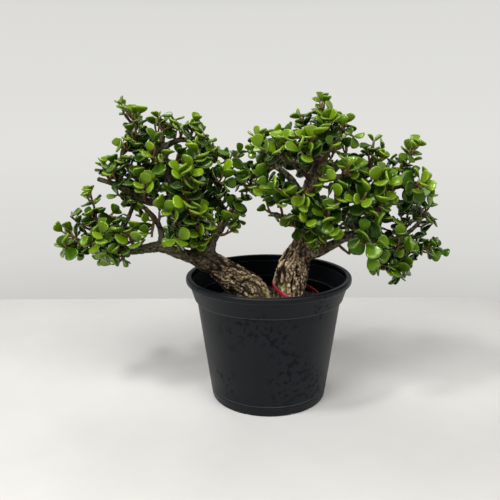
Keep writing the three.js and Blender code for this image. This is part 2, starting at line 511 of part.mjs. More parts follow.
// Leaves stand in opposite pairs, each pair a quarter turn on from the last, smaller towards the tip
function placeLeaves(sprays, stems) {
  const leaves = [];
  sprays.forEach((spray, number) => spray.shoots.forEach((item, order) => {
    const path = spray.strands[order];
    const draw = randomSource(1000 * number + 10 * order + 7);
    const start = draw() * Math.PI;
    for (let pair = item.pairs - 1; pair >= 0; pair--) {
      const fromTip = item.pairs - 1 - pair;
      const t = PAIRS.last - (fromTip * PAIRS.spacing * item.leaf) / path.length;
      if (t < PAIRS.lowest) break;
      const young = fromTip === 0 ? PAIRS.tipSize : fromTip === 1 ? PAIRS.nextSize : 1;
      const angle = fromTip === 0 ? PLACING.tipAngle : PLACING.openAngle;
      for (let half = 0; half < 2; half++) {
        const azimuth = start + (pair * Math.PI) / 2 + half * Math.PI;
        for (let attempt = 0; attempt < PLACING.tries; attempt++) {
          const leaf = leafTry(path, t, azimuth, angle, item.leaf * PAIRS.grown * young, attempt, draw);
          leaf.samples = leafSamples(leaf);
          leaf.centre = leafPoint(leaf, LEAF.crown, 0, 0);
          leaf.reach = leaf.length * PLACING.leafReach;
          leaf.spray = spray;
          if (fillsGap(leaf.samples)) continue;
          if (isClear(leaf.samples, leaf.centre, leaf.reach, path, stems, leaves)) {
            leaves.push(leaf);
            break;
          }
        }
      }
    }
  }));
  return leaves;
}

function spraySolid(spray, leaves, cutter) {
  let body = null;
  spray.strands.forEach((path) => {
    const stem = solid(tube(path, STEM.sides, path.pieces, 0, 0));
    body = body ? body.add(stem) : stem;
  });
  for (const leaf of leaves) {
    if (leaf.spray === spray) body = body.add(leafSolid(leaf));
  }
  return body.subtract(cutter);
}

function node(name, body, color, roughness) {
  const material = new THREE.MeshStandardMaterial({ color, roughness, metalness: 0, flatShading: true });
  const mesh = new THREE.Mesh(surface(body), material);
  mesh.name = name;
  return mesh;
}

function nameSprays(tree, list) {
  return list.map((shoots, i) => ({
    name: `spray_${tree}_${String(i + 1).padStart(2, '0')}`, tree, shoots, strands: shootStrands(shoots),
  }));
}

const group = new THREE.Group();
const cutters = { left: wood(LEFT_LIMBS, CLEARANCE), right: wood(RIGHT_LIMBS, CLEARANCE) };
group.add(node('nursery_pot', nurseryPot(), '#24282b', 0.55));
group.add(node('soil', soilFill([cutters.left, cutters.right]), '#3a2f26', 1));
group.add(node('tie_ring', tieRing(), '#b3202c', 0.4));
group.add(node('trunk_left', wood(LEFT_LIMBS, 0), '#6e5a47', 0.9));
group.add(node('trunk_right', wood(RIGHT_LIMBS, 0), '#7a6650', 0.9));

const sprays = nameSprays('left', LEFT_SPRAYS).concat(nameSprays('right', RIGHT_SPRAYS));
const stems = sprays.flatMap((spray) => spray.strands.flatMap((path) => capsules(path, STEM.samples)));
for (const points of Object.values(LEFT_LIMBS).concat(Object.values(RIGHT_LIMBS))) {
  stems.push(...capsules(limbStrand(points), (points.length - 1) * 2));
}
const leaves = placeLeaves(sprays, stems);
for (const spray of sprays) {
  group.add(node(spray.name, spraySolid(spray, leaves, cutters[spray.tree]), '#6f9a3c', 0.45));
}

export default group;
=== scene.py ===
"""A dwarf jade bonsai in its black nursery pot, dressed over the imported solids."""
import math

import bpy
import numpy as np
from mathutils import Matrix, Vector, noise


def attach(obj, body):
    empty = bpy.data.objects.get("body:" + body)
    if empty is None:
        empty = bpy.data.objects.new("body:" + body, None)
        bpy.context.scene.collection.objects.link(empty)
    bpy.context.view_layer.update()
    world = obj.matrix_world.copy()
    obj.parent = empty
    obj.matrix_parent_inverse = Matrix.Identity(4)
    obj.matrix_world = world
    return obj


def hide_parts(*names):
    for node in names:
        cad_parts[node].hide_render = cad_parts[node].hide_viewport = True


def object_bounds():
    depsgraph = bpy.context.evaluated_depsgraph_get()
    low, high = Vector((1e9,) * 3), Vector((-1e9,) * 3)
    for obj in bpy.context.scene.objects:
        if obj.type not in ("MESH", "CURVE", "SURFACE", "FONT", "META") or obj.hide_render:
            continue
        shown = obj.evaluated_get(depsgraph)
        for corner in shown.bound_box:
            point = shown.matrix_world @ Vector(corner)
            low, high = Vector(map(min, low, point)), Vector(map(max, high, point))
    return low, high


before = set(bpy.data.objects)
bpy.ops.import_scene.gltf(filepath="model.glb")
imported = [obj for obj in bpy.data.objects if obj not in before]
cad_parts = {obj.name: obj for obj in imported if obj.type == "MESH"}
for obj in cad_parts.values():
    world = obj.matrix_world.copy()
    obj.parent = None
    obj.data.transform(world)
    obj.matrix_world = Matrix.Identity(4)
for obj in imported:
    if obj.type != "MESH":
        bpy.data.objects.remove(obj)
CAD_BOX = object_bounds()
MM = 0.001

# Camera: place in millimetres, lens for a 36 mm sensor, and pitch and roll in radians
CAMERA_PLACE = (-22.4, -702.2, 351.4)
CAMERA_LENS = 43.2
CAMERA_PITCH = 0.236
CAMERA_ROLL = -0.005

# The crowns' outlines and gaps lie on this upright plane, and wood shows if nothing in front is nearer
FRONT_PLANE, WOOD_DEPTH = -5, 12

# The same dimensions in millimetres as the solids have
POT = {"height": 153, "rim": 100, "bead": 7.5, "collar_top": 96, "collar": 126, "collar_foot": 90.5,
       "body_top": 87.5, "base": 70.5, "line": 11.5, "wall": 2.2, "floor": 3, "notches": 8,
       "first_notch": 0.5, "drains": 6, "first_drain": 0.25, "drain_radius": 7, "drain_circle": 46}
SOIL = {"top": 111, "dome": 2.5}
TIE = {"radius": 33, "thickness": 1, "tilt": 21, "rise": 8, "place": (35.8, 12, 126.9)}
BARK = {"trunk_relief": 0.07, "limb_relief": 0.05}
STEM = {"samples": 6, "base": 1.8, "tip": 1.4, "sag": 0.1, "stride": 24}
LEAF = {"waist": 0.42, "waist_half": 0.38, "shoulder": 0.82, "shoulder_half": 0.46, "crown": 0.56,
        "roundness": 0.92, "cup": 0.33, "droop": 0.06}
PAIRS = {"spacing": 0.98, "lowest": 0.14, "last": 0.98, "tip_size": 0.8, "next_size": 0.95, "grown": 1.12,
         "old_after": 3}
PLACING = {"tries": 3, "first_share": 0.3, "last_share": 0.98, "grid": 2.2, "reach": 1.35,
           "stem_allowance": 1.1, "leaf_reach": 0.6, "size": 0.12, "turn": 0.22, "turn_step": 0.12,
           "fold": 0.16, "fold_step": 0.06, "shrink": 0.05, "twist": 0.35, "open_angle": 1.15,
           "tip_angle": 0.6, "lift": 0.35}


def shoot(pairs, leaf, *points):
    return {"pairs": pairs, "leaf": leaf, "points": points, "from": None}


def side(start, pairs, leaf, *points):
    return {"pairs": pairs, "leaf": leaf, "points": points, "from": start}


# Trunks and limbs: each point is x, y, z and the radius there
LEFT_LIMBS = {
    "trunk": [[-12, -13, 78, 17], [-13, -13, 100, 20.5], [-14, -12, 119, 21], [-26, -11, 139, 19.5],
        [-40, -10, 149, 16.5], [-54, -8, 158, 14], [-66, -6, 167, 12.5], [-78, -5, 174, 11]],
    "low": [[-74, -5, 171, 10], [-92, -8, 176, 8], [-110, -10, 183, 6.8], [-127, -12, 190, 6.3],
        [-143, -14, 189, 5.8], [-160, -14, 186, 5], [-178, -12, 187, 4], [-195, -10, 189, 3.2],
        [-212, -8, 190, 2.4]],
    "leader": [[-76, -5, 170, 10], [-86, 2, 190, 8], [-94, 7, 211, 7.2], [-101, 9, 233, 6.8],
        [-109, 9, 253, 6.2], [-119, 7, 272, 5.5], [-130, 5, 286, 5], [-132, 4, 297, 4.4],
        [-126, 2, 309, 3.6], [-121, 0, 320, 2.8]],
    "right": [[-74, -5, 174, 8.5], [-67, -6, 195, 5.8], [-59, -8, 208, 5], [-51, -8, 220, 4],
        [-47, -7, 231, 3]],
    "far": [[-106, 9, 246, 5.5], [-123, 6, 243, 5.4], [-140, 4, 241, 5], [-152, 4, 246, 4.6],
        [-166, 3, 254, 4], [-183, 2, 263, 3.4], [-200, 0, 269, 2.6]],
    "inner": [[-126, -12, 190, 4.6], [-126, -14, 206, 3.6], [-130, -14, 219, 3.2],
        [-139, -12, 230, 2.8], [-147, -10, 238, 2.5]],
    "twig": [[-174, -12, 187, 3.2], [-177, -8, 200, 2.8], [-171, -3, 213, 2.5], [-165, 0, 226, 2.6],
        [-162, 2, 235, 2.5]],
    "high": [[-99, 8, 228, 5], [-82, 10, 250, 4.2], [-68, 10, 264, 3.6], [-59, 8, 275, 3],
        [-49, 5, 282, 2.7], [-41, 3, 288, 2.5]],
    "top": [[-130, 4, 299, 4], [-119, 0, 306, 3.6], [-105, -3, 313, 3.2], [-93, -4, 313, 2.8],
        [-82, -2, 306, 2.7], [-68, 0, 299, 2.5]],
}
RIGHT_LIMBS = {
    "trunk": [[25, 13, 80, 16.5], [25, 13, 104, 19], [26, 12, 128, 19.5], [29, 10, 152, 19],
        [34, 8, 171, 15.5], [41, 5, 185, 11.5]],
    "leader": [[41, 5, 180, 11], [42, 5, 201, 9.8], [41, 6, 222, 9.2], [45, 6, 243, 8.8],
        [50, 5, 261, 8.2], [58, 4, 280, 7.4], [64, 2, 295, 6], [70, 0, 308, 4.6], [77, -2, 316, 3.4],
        [84, -3, 322, 2.4]],
    "low": [[42, 5, 176, 9], [60, -2, 181, 6.4], [73, -8, 189, 5.4], [85, -12, 197, 5],
        [98, -14, 203, 4.5], [114, -12, 202, 4], [132, -8, 196, 3.6], [147, -5, 196, 3.2],
        [160, 0, 198, 2.8], [171, 4, 205, 2.4], [180, 6, 213, 2.5], [183, 8, 222, 2.4]],
    "inner": [[42, 7, 235, 5.5], [37, 12, 251, 4.8], [27, 14, 266, 4.2], [15, 14, 277, 3.6],
        [3, 12, 285, 2.8], [-4, 10, 293, 2.7], [-9, 8, 303, 2.5]],
    "hanging": [[41, 2, 226, 4], [27, -8, 223, 2.6], [18, -12, 224, 2.6], [8, -14, 229, 2.5]],
    "middle": [[41, 3, 213, 6.8], [58, -4, 227, 5.5], [78, -6, 238, 5], [98, -4, 245, 4.5],
        [119, 0, 250, 4], [138, 3, 254, 3.4], [155, 5, 258, 2.8], [167, 5, 261, 2.2]],
    "upper": [[51, 4, 264, 5.5], [68, -2, 268, 4], [85, -6, 271, 3.5], [102, -5, 274, 3],
        [119, 0, 276, 2.6], [138, 4, 275, 2.6], [152, 5, 271, 2.5]],
    "left": [[44, 3, 240, 5], [25, -4, 245, 3.2], [9, -8, 256, 2.8], [-6, -8, 262, 2.7],
        [-20, -6, 261, 2.5]],
}

# Where the crowns open when seen from the front: x and z on an upright plane through the limbs
GAPS = [
  [[-140, 239], [-132, 239], [-131, 232], [-134, 228], [-131, 222], [-135, 222], [-140, 231]],
  [[-144, 221], [-134, 216], [-131, 206], [-131, 198], [-140, 196], [-152, 195], [-143, 201], [-137, 207]],
  [[-122, 289], [-119, 287], [-116, 279], [-117, 270], [-120, 272], [-121, 281]],
  [[-119, 297], [-111, 297], [-112, 293], [-118, 293]],
  [[-137, 301], [-132, 301], [-133, 297], [-136, 297]],
  [[-159, 234], [-154, 232], [-152, 222], [-155, 217], [-159, 222]],
  [[-217, 214], [-211, 213], [-213, 205], [-216, 206]],
  [[-85, 309], [-77, 308], [-72, 302], [-76, 302]],
  [[-138, 334], [-131, 333], [-132, 328], [-137, 328]],
  [[-104, 336], [-94, 334], [-96, 330], [-103, 331]],
  [[25, 279], [30, 279], [33, 270], [37, 265], [38, 257], [34, 256], [32, 263], [27, 270]],
  [[60, 254], [66, 256], [72, 251], [68, 247], [62, 249]],
  [[147, 259], [153, 256], [158, 250], [158, 244], [150, 243], [149, 250]],
  [[140, 233], [150, 236], [154, 228], [150, 222], [143, 224]],
  [[134, 216], [143, 218], [146, 210], [140, 206], [136, 202], [133, 208]],
  [[164, 211], [176, 209], [172, 201], [163, 202]],
  [[83, 219], [87, 219], [87, 205], [84, 205]],
  [[70, 300], [80, 297], [77, 290], [70, 292]],
  [[3, 233], [14, 236], [26, 235], [28, 229], [20, 226], [8, 227]],
  [[-1, 279], [5, 277], [3, 272], [-2, 273]],
]
BARE_WOOD = [
  [[-141, 229], [-128, 231], [-121, 216], [-117, 204], [-125, 200], [-131, 212]],
  [[-158, 188], [-151, 192], [-141, 196], [-129, 196], [-127, 189], [-113, 186], [-104, 181], [-92, 182],
    [-86, 170], [-97, 173], [-111, 177], [-125, 181], [-142, 181], [-158, 180]],
  [[-78, 184], [-69, 192], [-60, 206], [-56, 214], [-49, 215], [-50, 203], [-61, 191], [-71, 180]],
  [[-132, 297], [-126, 312], [-121, 320], [-117, 316], [-119, 307], [-124, 298]],
  [[-120, 306], [-110, 311], [-102, 320], [-100, 317], [-108, 308], [-118, 303]],
  [[-174, 262], [-162, 258], [-152, 253], [-141, 248], [-132, 243], [-134, 238], [-141, 237], [-150, 241],
    [-163, 250], [-176, 257]],
  [[-202, 273], [-190, 272], [-180, 268], [-180, 261], [-190, 264], [-202, 268]],
  [[-171, 222], [-168, 232], [-161, 238], [-159, 232], [-164, 222], [-166, 216]],
  [[55, 297], [64, 297], [64, 286], [60, 276], [54, 266], [50, 256], [40, 256], [41, 266], [48, 274],
    [54, 284]],
  [[2, 282], [22, 284], [36, 276], [40, 268], [38, 263], [30, 266], [17, 275], [3, 278]],
  [[53, 172], [64, 179], [80, 187], [90, 193], [101, 202], [108, 214], [101, 216], [93, 207], [83, 198],
    [68, 188], [56, 182]],
  [[5, 150], [10, 172], [26, 184], [38, 190], [50, 182], [56, 178], [52, 160], [50, 150]],
]
LEFT_SPRAYS = [
  [shoot(5, 13, [-152, 4, 246], [-151, -2, 273], [-151, -8, 310], [-151, -12, 345]),
    side(0.9, 2, 11, [-164, -16, 354]), side(0.6, 2, 11, [-168, -20, 308])],
  [shoot(3, 10, [-121, 0, 318], [-127, 0, 339]), side(0.25, 2, 12, [-105, -8, 337]),
    side(0.1, 2, 13, [-143, 32, 322])],
  [shoot(3, 13, [-103, -3, 313], [-97, -16, 329])],
  [shoot(3, 11, [-92, -4, 312], [-84, -8, 335]), side(0.2, 2, 14, [-72, -8, 311])],
  [shoot(3, 16, [-76, 10, 256], [-80, -20, 278], [-80, -38, 304]), side(0.25, 2, 15, [-52, -22, 265])],
  [shoot(3, 18, [-97, 8, 219], [-92, -34, 246], [-96, -56, 282])],
  [shoot(2, 18, [-68, -6, 192], [-81, -32, 213], [-90, -52, 246])],
  [shoot(2, 17, [-89, 4, 199], [-110, -50, 238]), side(0.35, 2, 17, [-107, -46, 208])],
  [shoot(2, 11, [-64, -7, 200], [-64, -36, 221]), side(0.3, 2, 10, [-44, -16, 209])],
  [shoot(3, 14, [-47, -7, 230], [-31, -8, 244]), side(0.2, 2, 12, [-36, -2, 220])],
  [shoot(3, 13, [-42, 3, 287], [-34, 0, 298]), side(0.12, 2, 13, [-58, 6, 296])],
  [shoot(3, 12, [-69, 0, 299], [-55, 2, 299])],
  [shoot(3, 12, [-184, 2, 263], [-192, -6, 284]), side(0.3, 2, 14, [-171, -20, 291])],
  [shoot(2, 17, [-146, 4, 243], [-140, -44, 268]), side(0.25, 2, 13, [-158, -16, 285])],
  [shoot(3, 14, [-130, 5, 286], [-136, -24, 302]), side(0.3, 2, 13, [-118, -36, 292])],
  [shoot(3, 13, [-131, -14, 221], [-140, -28, 240]), side(0.25, 2, 14, [-136, -24, 204])],
  [shoot(3, 11, [-162, 2, 234], [-163, -2, 247])],
  [shoot(2, 15, [-158, -14, 186], [-161, -34, 213]), side(0.35, 2, 14, [-142, -36, 204])],
  [shoot(5, 13, [-195, -10, 189], [-200, -12, 210], [-203, -10, 233], [-208, -10, 255]),
    side(0.45, 2, 12, [-184, -2, 229]), side(0.3, 2, 9, [-232, -2, 223]), side(0.1, 2, 16, [-189, -46, 214])],
  [shoot(2, 16, [-211, -8, 190], [-227, -12, 201], [-241, -18, 210]), side(0.3, 2, 15, [-236, -24, 192]),
    side(0.12, 2, 13, [-227, -2, 181])],
  [shoot(3, 12, [-172, -13, 187], [-195, -28, 181]), side(0.3, 2, 12, [-167, -34, 182])],
  [shoot(2, 15, [-109, 9, 252], [-89, 50, 241]), side(0.3, 4, 15, [-134, 62, 273])],
  [shoot(3, 15, [-92, 6, 206], [-124, 58, 195]), side(0.3, 2, 14, [-76, 56, 209])],
  [shoot(3, 14, [-158, 4, 248], [-172, 52, 240]), side(0.15, 2, 13, [-176, -12, 252])],
  [shoot(3, 14, [-83, -2, 306], [-77, 44, 287])],
  [shoot(3, 14, [-180, -12, 187], [-210, 38, 192])],
]
RIGHT_SPRAYS = [
  [shoot(5, 14, [65, 2, 297], [61, -4, 326], [60, -5, 357]), side(0.2, 2, 15, [64, -36, 335])],
  [shoot(3, 14, [61, 3, 288], [49, 2, 320], [35, 2, 338]), side(0.45, 2, 12, [13, -6, 322])],
  [shoot(2, 17, [58, 4, 279], [43, -46, 317]), side(0.35, 2, 16, [42, -52, 299]),
    side(0.25, 2, 14, [65, -34, 303])],
  [shoot(3, 14, [82, -3, 320], [89, 0, 332]), side(0.2, 2, 14, [95, -12, 317])],
  [shoot(3, 13, [-9, 8, 302], [-15, 4, 317]), side(0.25, 2, 11, [-4, 10, 316]),
    side(0.1, 2, 13, [-18, -8, 302])],
  [shoot(5, 14, [51, 5, 263], [23, -26, 291], [-7, -36, 305]), side(0.45, 2, 14, [19, -30, 313])],
  [shoot(3, 14, [85, -6, 271], [91, 4, 304]), side(0.3, 2, 12, [70, -6, 290]),
    side(0.22, 2, 13, [87, -50, 278])],
  [shoot(3, 13, [119, 0, 276], [121, 0, 311]), side(0.15, 2, 8, [133, -8, 293])],
  [shoot(5, 13, [151, 5, 271], [159, 2, 287], [168, 0, 309])],
  [shoot(2, 19, [132, 2, 253], [118, -48, 271]), side(0.25, 2, 14, [140, -26, 247])],
  [shoot(2, 18, [166, 5, 261], [168, -34, 267]), side(0.2, 2, 14, [184, -10, 250])],
  [shoot(2, 15, [101, -4, 246], [98, -58, 250]), side(0.3, 2, 17, [121, -48, 234])],
  [shoot(2, 16, [69, -5, 233], [64, -48, 226]), side(0.3, 2, 16, [76, -48, 251])],
  [shoot(2, 15, [48, 5, 255], [61, -46, 273]), side(0.35, 2, 16, [34, -50, 252])],
  [shoot(3, 12, [-19, -6, 261], [-33, -8, 264]), side(0.1, 4, 12, [-23, -2, 280])],
  [shoot(3, 13, [19, -6, 248], [16, -40, 261]), side(0.35, 2, 17, [9, -40, 241]),
    side(0.3, 2, 14, [-5, -34, 264])],
  [shoot(3, 13, [9, -14, 229], [-4, -16, 234])],
  [shoot(3, 13, [42, 5, 208], [41, -42, 231]), side(0.4, 2, 13, [24, -22, 218])],
  [shoot(2, 15, [64, -4, 184], [64, -38, 204])],
  [shoot(2, 21, [108, -13, 203], [106, -62, 203])],
  [shoot(3, 14, [138, -7, 196], [156, -10, 180], [162, -12, 167], [153, -14, 151]),
    side(0.25, 2, 13, [126, -24, 166])],
  [shoot(5, 14, [148, -5, 196], [172, -10, 190], [206, -8, 181]), side(0.1, 2, 12, [144, -42, 190])],
  [shoot(3, 12, [183, 8, 221], [192, 6, 233]), side(0.15, 2, 13, [195, 0, 218])],
  [shoot(4, 11, [162, 1, 199], [169, 10, 235]), side(0.25, 2, 13, [146, -6, 224])],
  [shoot(3, 14, [55, 4, 274], [84, 44, 298]), side(0.3, 4, 15, [35, 58, 280])],
  [shoot(3, 15, [110, -2, 248], [100, 58, 246]), side(0.3, 2, 14, [162, 50, 240])],
  [shoot(3, 14, [114, -12, 202], [110, 14, 204], [98, 50, 212]), side(0.4, 2, 13, [152, 38, 198])],
  [shoot(3, 14, [42, 5, 206], [29, 56, 214]), side(0.4, 2, 14, [72, 50, 206])],
  [shoot(3, 13, [15, 14, 277], [0, 58, 268])],
]

LIMBS = {"left": LEFT_LIMBS, "right": RIGHT_LIMBS}
SPRAYS = {"left": LEFT_SPRAYS, "right": RIGHT_SPRAYS}
Y_AXIS = np.array([0.0, 1.0, 0.0])
Z_AXIS = np.array([0.0, 0.0, 1.0])
# A strand that runs from front to back by more than this share takes its axes from z
DEPTHWISE = 0.75
# Shares of a curve: how far apart a tangent's points are, and how many points give a length
NUDGE, LENGTH_POINTS = 1e-4, 201


def random_source(seed):
    """The same draws come from the same seed: a linear congruence modulo 2 to the 32."""
    state = seed

    def draw():
        nonlocal state
        state = (state * 1664525 + 1013904223) & 0xFFFFFFFF
        return state / 4294967296
    return draw


def unit(vector):
    return vector / math.sqrt(vector @ vector)


def lerp(a, b, share):
    return a + (b - a) * share


class Curve:
    """A smooth curve through points, as a Catmull-Rom spline of tension a half."""

    def __init__(self, points):
        p = np.array(points, float)
        self.points = np.vstack([2 * p[0] - p[1], p, 2 * p[-1] - p[-2]])
        self.spans = len(p) - 1

    def at(self, t):
        place = min(max(t, 0.0), 1.0) * self.spans
        start = min(int(place), self.spans - 1)
        return self.between(*self.points[start:start + 4], place - start)

    def between(self, a, b, c, d, w):
        into, out = (c - a) / 2, (d - b) / 2
        return b + into * w + (3 * (c - b) - 2 * into - out) * w * w + (2 * (b - c) + into + out) * w ** 3

    def row(self, count):
        """Evenly shared places along the curve, all at once."""
        place = np.linspace(0, self.spans, count)
        start = np.minimum(place.astype(int), self.spans - 1)
        return self.between(*(self.points[start + i] for i in range(4)), (place - start)[:, None])

    def tangent(self, t):
        return unit(self.at(min(t + NUDGE, 1)) - self.at(max(t - NUDGE, 0)))

    def length(self):
        steps = np.diff(self.row(LENGTH_POINTS), axis=0)
        return float(np.sqrt((steps * steps).sum(1)).sum())


class Strand:
    """A curve with steady axes across it, and a radius that runs from point to point."""

    def __init__(self, points, radii):
        self.curve = Curve(points)
        self.radii = radii
        whole = unit(np.array(points[-1], float) - np.array(points[0], float))
        self.reference = Z_AXIS if abs(whole[1]) > DEPTHWISE else Y_AXIS
        self.length = self.curve.length()

    def radius(self, t):
        place = t * (len(self.radii) - 1)
        start = min(int(place), len(self.radii) - 2)
        return lerp(self.radii[start], self.radii[start + 1], place - start)

    def axes(self, t):
        tangent = self.curve.tangent(t)
        across = unit(np.cross(tangent, self.reference))
        return tangent, across, np.cross(across, tangent)


def limb_strand(points):
    return Strand([p[:3] for p in points], [p[3] for p in points])


class Shoot(Strand):
    """A shoot's stem is a row of straight pieces, and its leaves grow from the stem's own middle."""

    def __init__(self, points):
        curve = Curve(points)
        self.pieces = max(2, math.floor(curve.length() / STEM["stride"] + 0.5))
        self.places = [curve.at(i / self.pieces) for i in range(self.pieces + 1)]
        super().__init__(self.places, [STEM["base"], STEM["tip"]])

    def point(self, t):
        start = min(int(t * self.pieces), self.pieces - 1)
        return lerp(self.places[start], self.places[start + 1], t * self.pieces - start)


def shoot_strands(spray):
    strands = []
    for item in spray:
        points = [np.array(p, float) for p in item["points"]]
        if item["from"] is not None:
            points.insert(0, strands[0].point(item["from"]))
        if len(points) == 2:
            start, end = points
            middle = lerp(start, end, 0.5)
            run = math.hypot(end[0] - start[0], end[1] - start[1])
            middle[2] += -STEM["sag"] * run if end[2] > start[2] else STEM["sag"] * run
            points.insert(1, middle)
        strands.append(Shoot(points))
    return strands


def half_width(share):
    return np.interp(share, [0, LEAF["waist"], LEAF["shoulder"], 1],
                     [0, LEAF["waist_half"], LEAF["shoulder_half"], 0])


class Leaf:
    """A leaf's place: its root, its three directions, and its length and width in millimetres."""

    def __init__(self, root, direction, normal, length):
        self.root, self.direction, self.normal = root, direction, normal
        self.across = np.cross(normal, direction)
        self.length = length
        self.width = length * LEAF["roundness"]
        self.centre = self.point(LEAF["crown"], 0.0)
        self.reach = length * PLACING["leaf_reach"]
        self.samples = self.spread()

    def point(self, along, across):
        bend = LEAF["cup"] * across * across * self.width - LEAF["droop"] * along * along * self.length
        return (self.root + self.direction * (along * self.length)
                + self.across * (across * self.width) + self.normal * bend)

    def spread(self):
        """Points all over the blade, close enough together to feel whatever crosses it."""
        rows = math.ceil((1 - PLACING["first_share"]) * self.length / PLACING["grid"])
        spots = []
        for i in range(rows + 1):
            along = lerp(PLACING["first_share"], PLACING["last_share"], i / rows)
            half = half_width(along)
            columns = max(1, math.ceil(half * self.width / PLACING["grid"]))
            spots += [(along, half * j / columns) for j in range(-columns, columns + 1)]
        spots = np.array(spots)
        along, across = spots[:, :1], spots[:, 1:]
        bend = LEAF["cup"] * across ** 2 * self.width - LEAF["droop"] * along ** 2 * self.length
        return (self.root + self.direction * along * self.length
                + self.across * across * self.width + self.normal * bend)


class Outline:
    """A closed outline as seen from the front, in x and z on the upright plane through the limbs."""

    def __init__(self, corners):
        self.corners = np.array(corners, float)
        self.nexts = np.roll(self.corners, -1, axis=0)
        self.low, self.high = self.corners.min(0), self.corners.max(0)

    def holds(self, spots):
        """Which spots lie inside, by counting the edges to their right."""
        near = ((spots > self.low) & (spots < self.high)).all(1)
        if near.any():
            x, z = spots[near].T
            x1, z1 = self.corners.T[:, :, None]
            x2, z2 = self.nexts.T[:, :, None]
            slope = (x2 - x1) / np.where(z1 == z2, 1, z2 - z1)
            edges = ((z1 > z) != (z2 > z)) & (x < x1 + (z - z1) * slope)
            near[near] = edges.sum(0) % 2 == 1
        return near


def seen_from_front(points):
    eye = np.array(CAMERA_PLACE)
    share = (FRONT_PLANE - eye[1]) / (points[:, 1:2] - eye[1])
    return (eye + (points - eye) * share)[:, [0, 2]]


OPEN_GAPS = [Outline(corners) for corners in GAPS]
BARE_STRETCHES = [Outline(corners) for corners in BARE_WOOD]


def fills_gap(points, allowed=0.0):
    """Whether more of a leaf's points than are allowed would fill a gap or hide bare wood from the front."""
    spots = seen_from_front(points)
    in_front = spots[points[:, 1] < WOOD_DEPTH]
    most = allowed * len(points)
    return (any(gap.holds(spots).sum() > most for gap in OPEN_GAPS)
            or any(stretch.holds(in_front).sum() > most for stretch in BARE_STRETCHES))


def segment_distances(points, a, b):
    run = b - a
    t = np.clip((points - a) @ run / (run @ run), 0, 1)
    return np.linalg.norm(points - a - t[:, None] * run, axis=1)


class Crowd:
    """Everything that a new leaf has to keep clear of: stems, limbs and the leaves before it."""

    def __init__(self):
        self.starts, self.ends = np.empty((0, 3)), np.empty((0, 3))
        self.radii, self.owners = np.empty(0), []
        self.leaves = []
        self.gap = PLACING["reach"]
        self.centres = np.empty((0, 3))
        self.reaches = np.empty(0)

    def add_stem(self, path, count):
        places = [path.curve.at(i / count) for i in range(count + 1)]
        radii = [path.radius(i / count) * PLACING["stem_allowance"] for i in range(count)]
        self.starts = np.vstack([self.starts, places[:-1]])
        self.ends = np.vstack([self.ends, places[1:]])
        self.radii = np.append(self.radii, radii)
        self.owners += [id(path)] * count

    def add_leaf(self, leaf):
        self.leaves.append(leaf)
        self.centres = np.vstack([self.centres, leaf.centre])
        self.reaches = np.append(self.reaches, leaf.reach)

    def near_stems(self, centre, reach):
        run = self.ends - self.starts
        t = np.clip(((centre - self.starts) * run).sum(1) / (run * run).sum(1), 0, 1)
        far = np.linalg.norm(centre - self.starts - t[:, None] * run, axis=1)
        return np.flatnonzero(far <= reach + self.radii + self.gap)

    def is_clear(self, samples, centre, reach, own):
        for i in self.near_stems(centre, reach):
            if self.owners[i] == own:
                continue
            gaps = segment_distances(samples, self.starts[i], self.ends[i])
            if (gaps < self.radii[i] + self.gap).any():
                return False
        least = 4 * self.gap ** 2
        apart = np.linalg.norm(self.centres - centre, axis=1)
        for i in np.flatnonzero(apart <= self.reaches + reach + 2 * self.gap):
            steps = samples[:, None] - self.leaves[i].samples[None]
            if ((steps * steps).sum(2) < least).any():
                return False
        return True


def leaf_try(path, t, azimuth, angle, size, attempt, draw):
    """One try at a leaf: each further try turns and folds it more, and makes it a little smaller."""
    tangent, across, up = path.axes(t)
    turn = azimuth + (2 * draw() - 1) * (PLACING["turn"] + PLACING["turn_step"] * attempt)
    opened = angle + (2 * draw() - 1) * (PLACING["fold"] + PLACING["fold_step"] * attempt)
    length = size * (1 + PLACING["size"] * (2 * draw() - 1)) * (1 - PLACING["shrink"] * attempt)
    twist = PLACING["twist"] * (2 * draw() - 1)
    radial = across * math.cos(turn) + up * math.sin(turn)
    direction = tangent * math.cos(opened) + radial * math.sin(opened)
    facing = tangent + Z_AXIS * PLACING["lift"] + up * twist + across * twist
    normal = unit(facing - direction * (facing @ direction))
    return Leaf(path.point(t), direction, normal, length)


def place_leaves(item, path, seed, crowd, tries, fits=None):
    """Opposite pairs, each a quarter turn on from the last, from the tip down."""
    draw = random_source(seed)
    start = draw() * math.pi
    placed = []
    for pair in range(item["pairs"] - 1, -1, -1):
        from_tip = item["pairs"] - 1 - pair
        spacing = item.get("spacing", PAIRS["spacing"])
        t = PAIRS["last"] - from_tip * spacing * item["leaf"] / path.length
        if t < PAIRS["lowest"]:
            break
        young = PAIRS["tip_size"] if from_tip == 0 else PAIRS["next_size"] if from_tip == 1 else 1
        angle = PLACING["tip_angle"] if from_tip == 0 else PLACING["open_angle"]
        for half in range(2):
            azimuth = start + pair * math.pi / 2 + half * math.pi
            for attempt in range(tries):
                size = item["leaf"] * PAIRS["grown"] * young
                leaf = leaf_try(path, t, azimuth, angle, size, attempt, draw)
                if not (fits(leaf) if fits else not fills_gap(leaf.samples)):
                    continue
                if crowd.is_clear(leaf.samples, leaf.centre, leaf.reach, id(path)):
                    leaf.age = min(1.0, from_tip / PAIRS["old_after"])
                    leaf.share = t
                    crowd.add_leaf(leaf)
                    placed.append(leaf)
                    break
    return placed


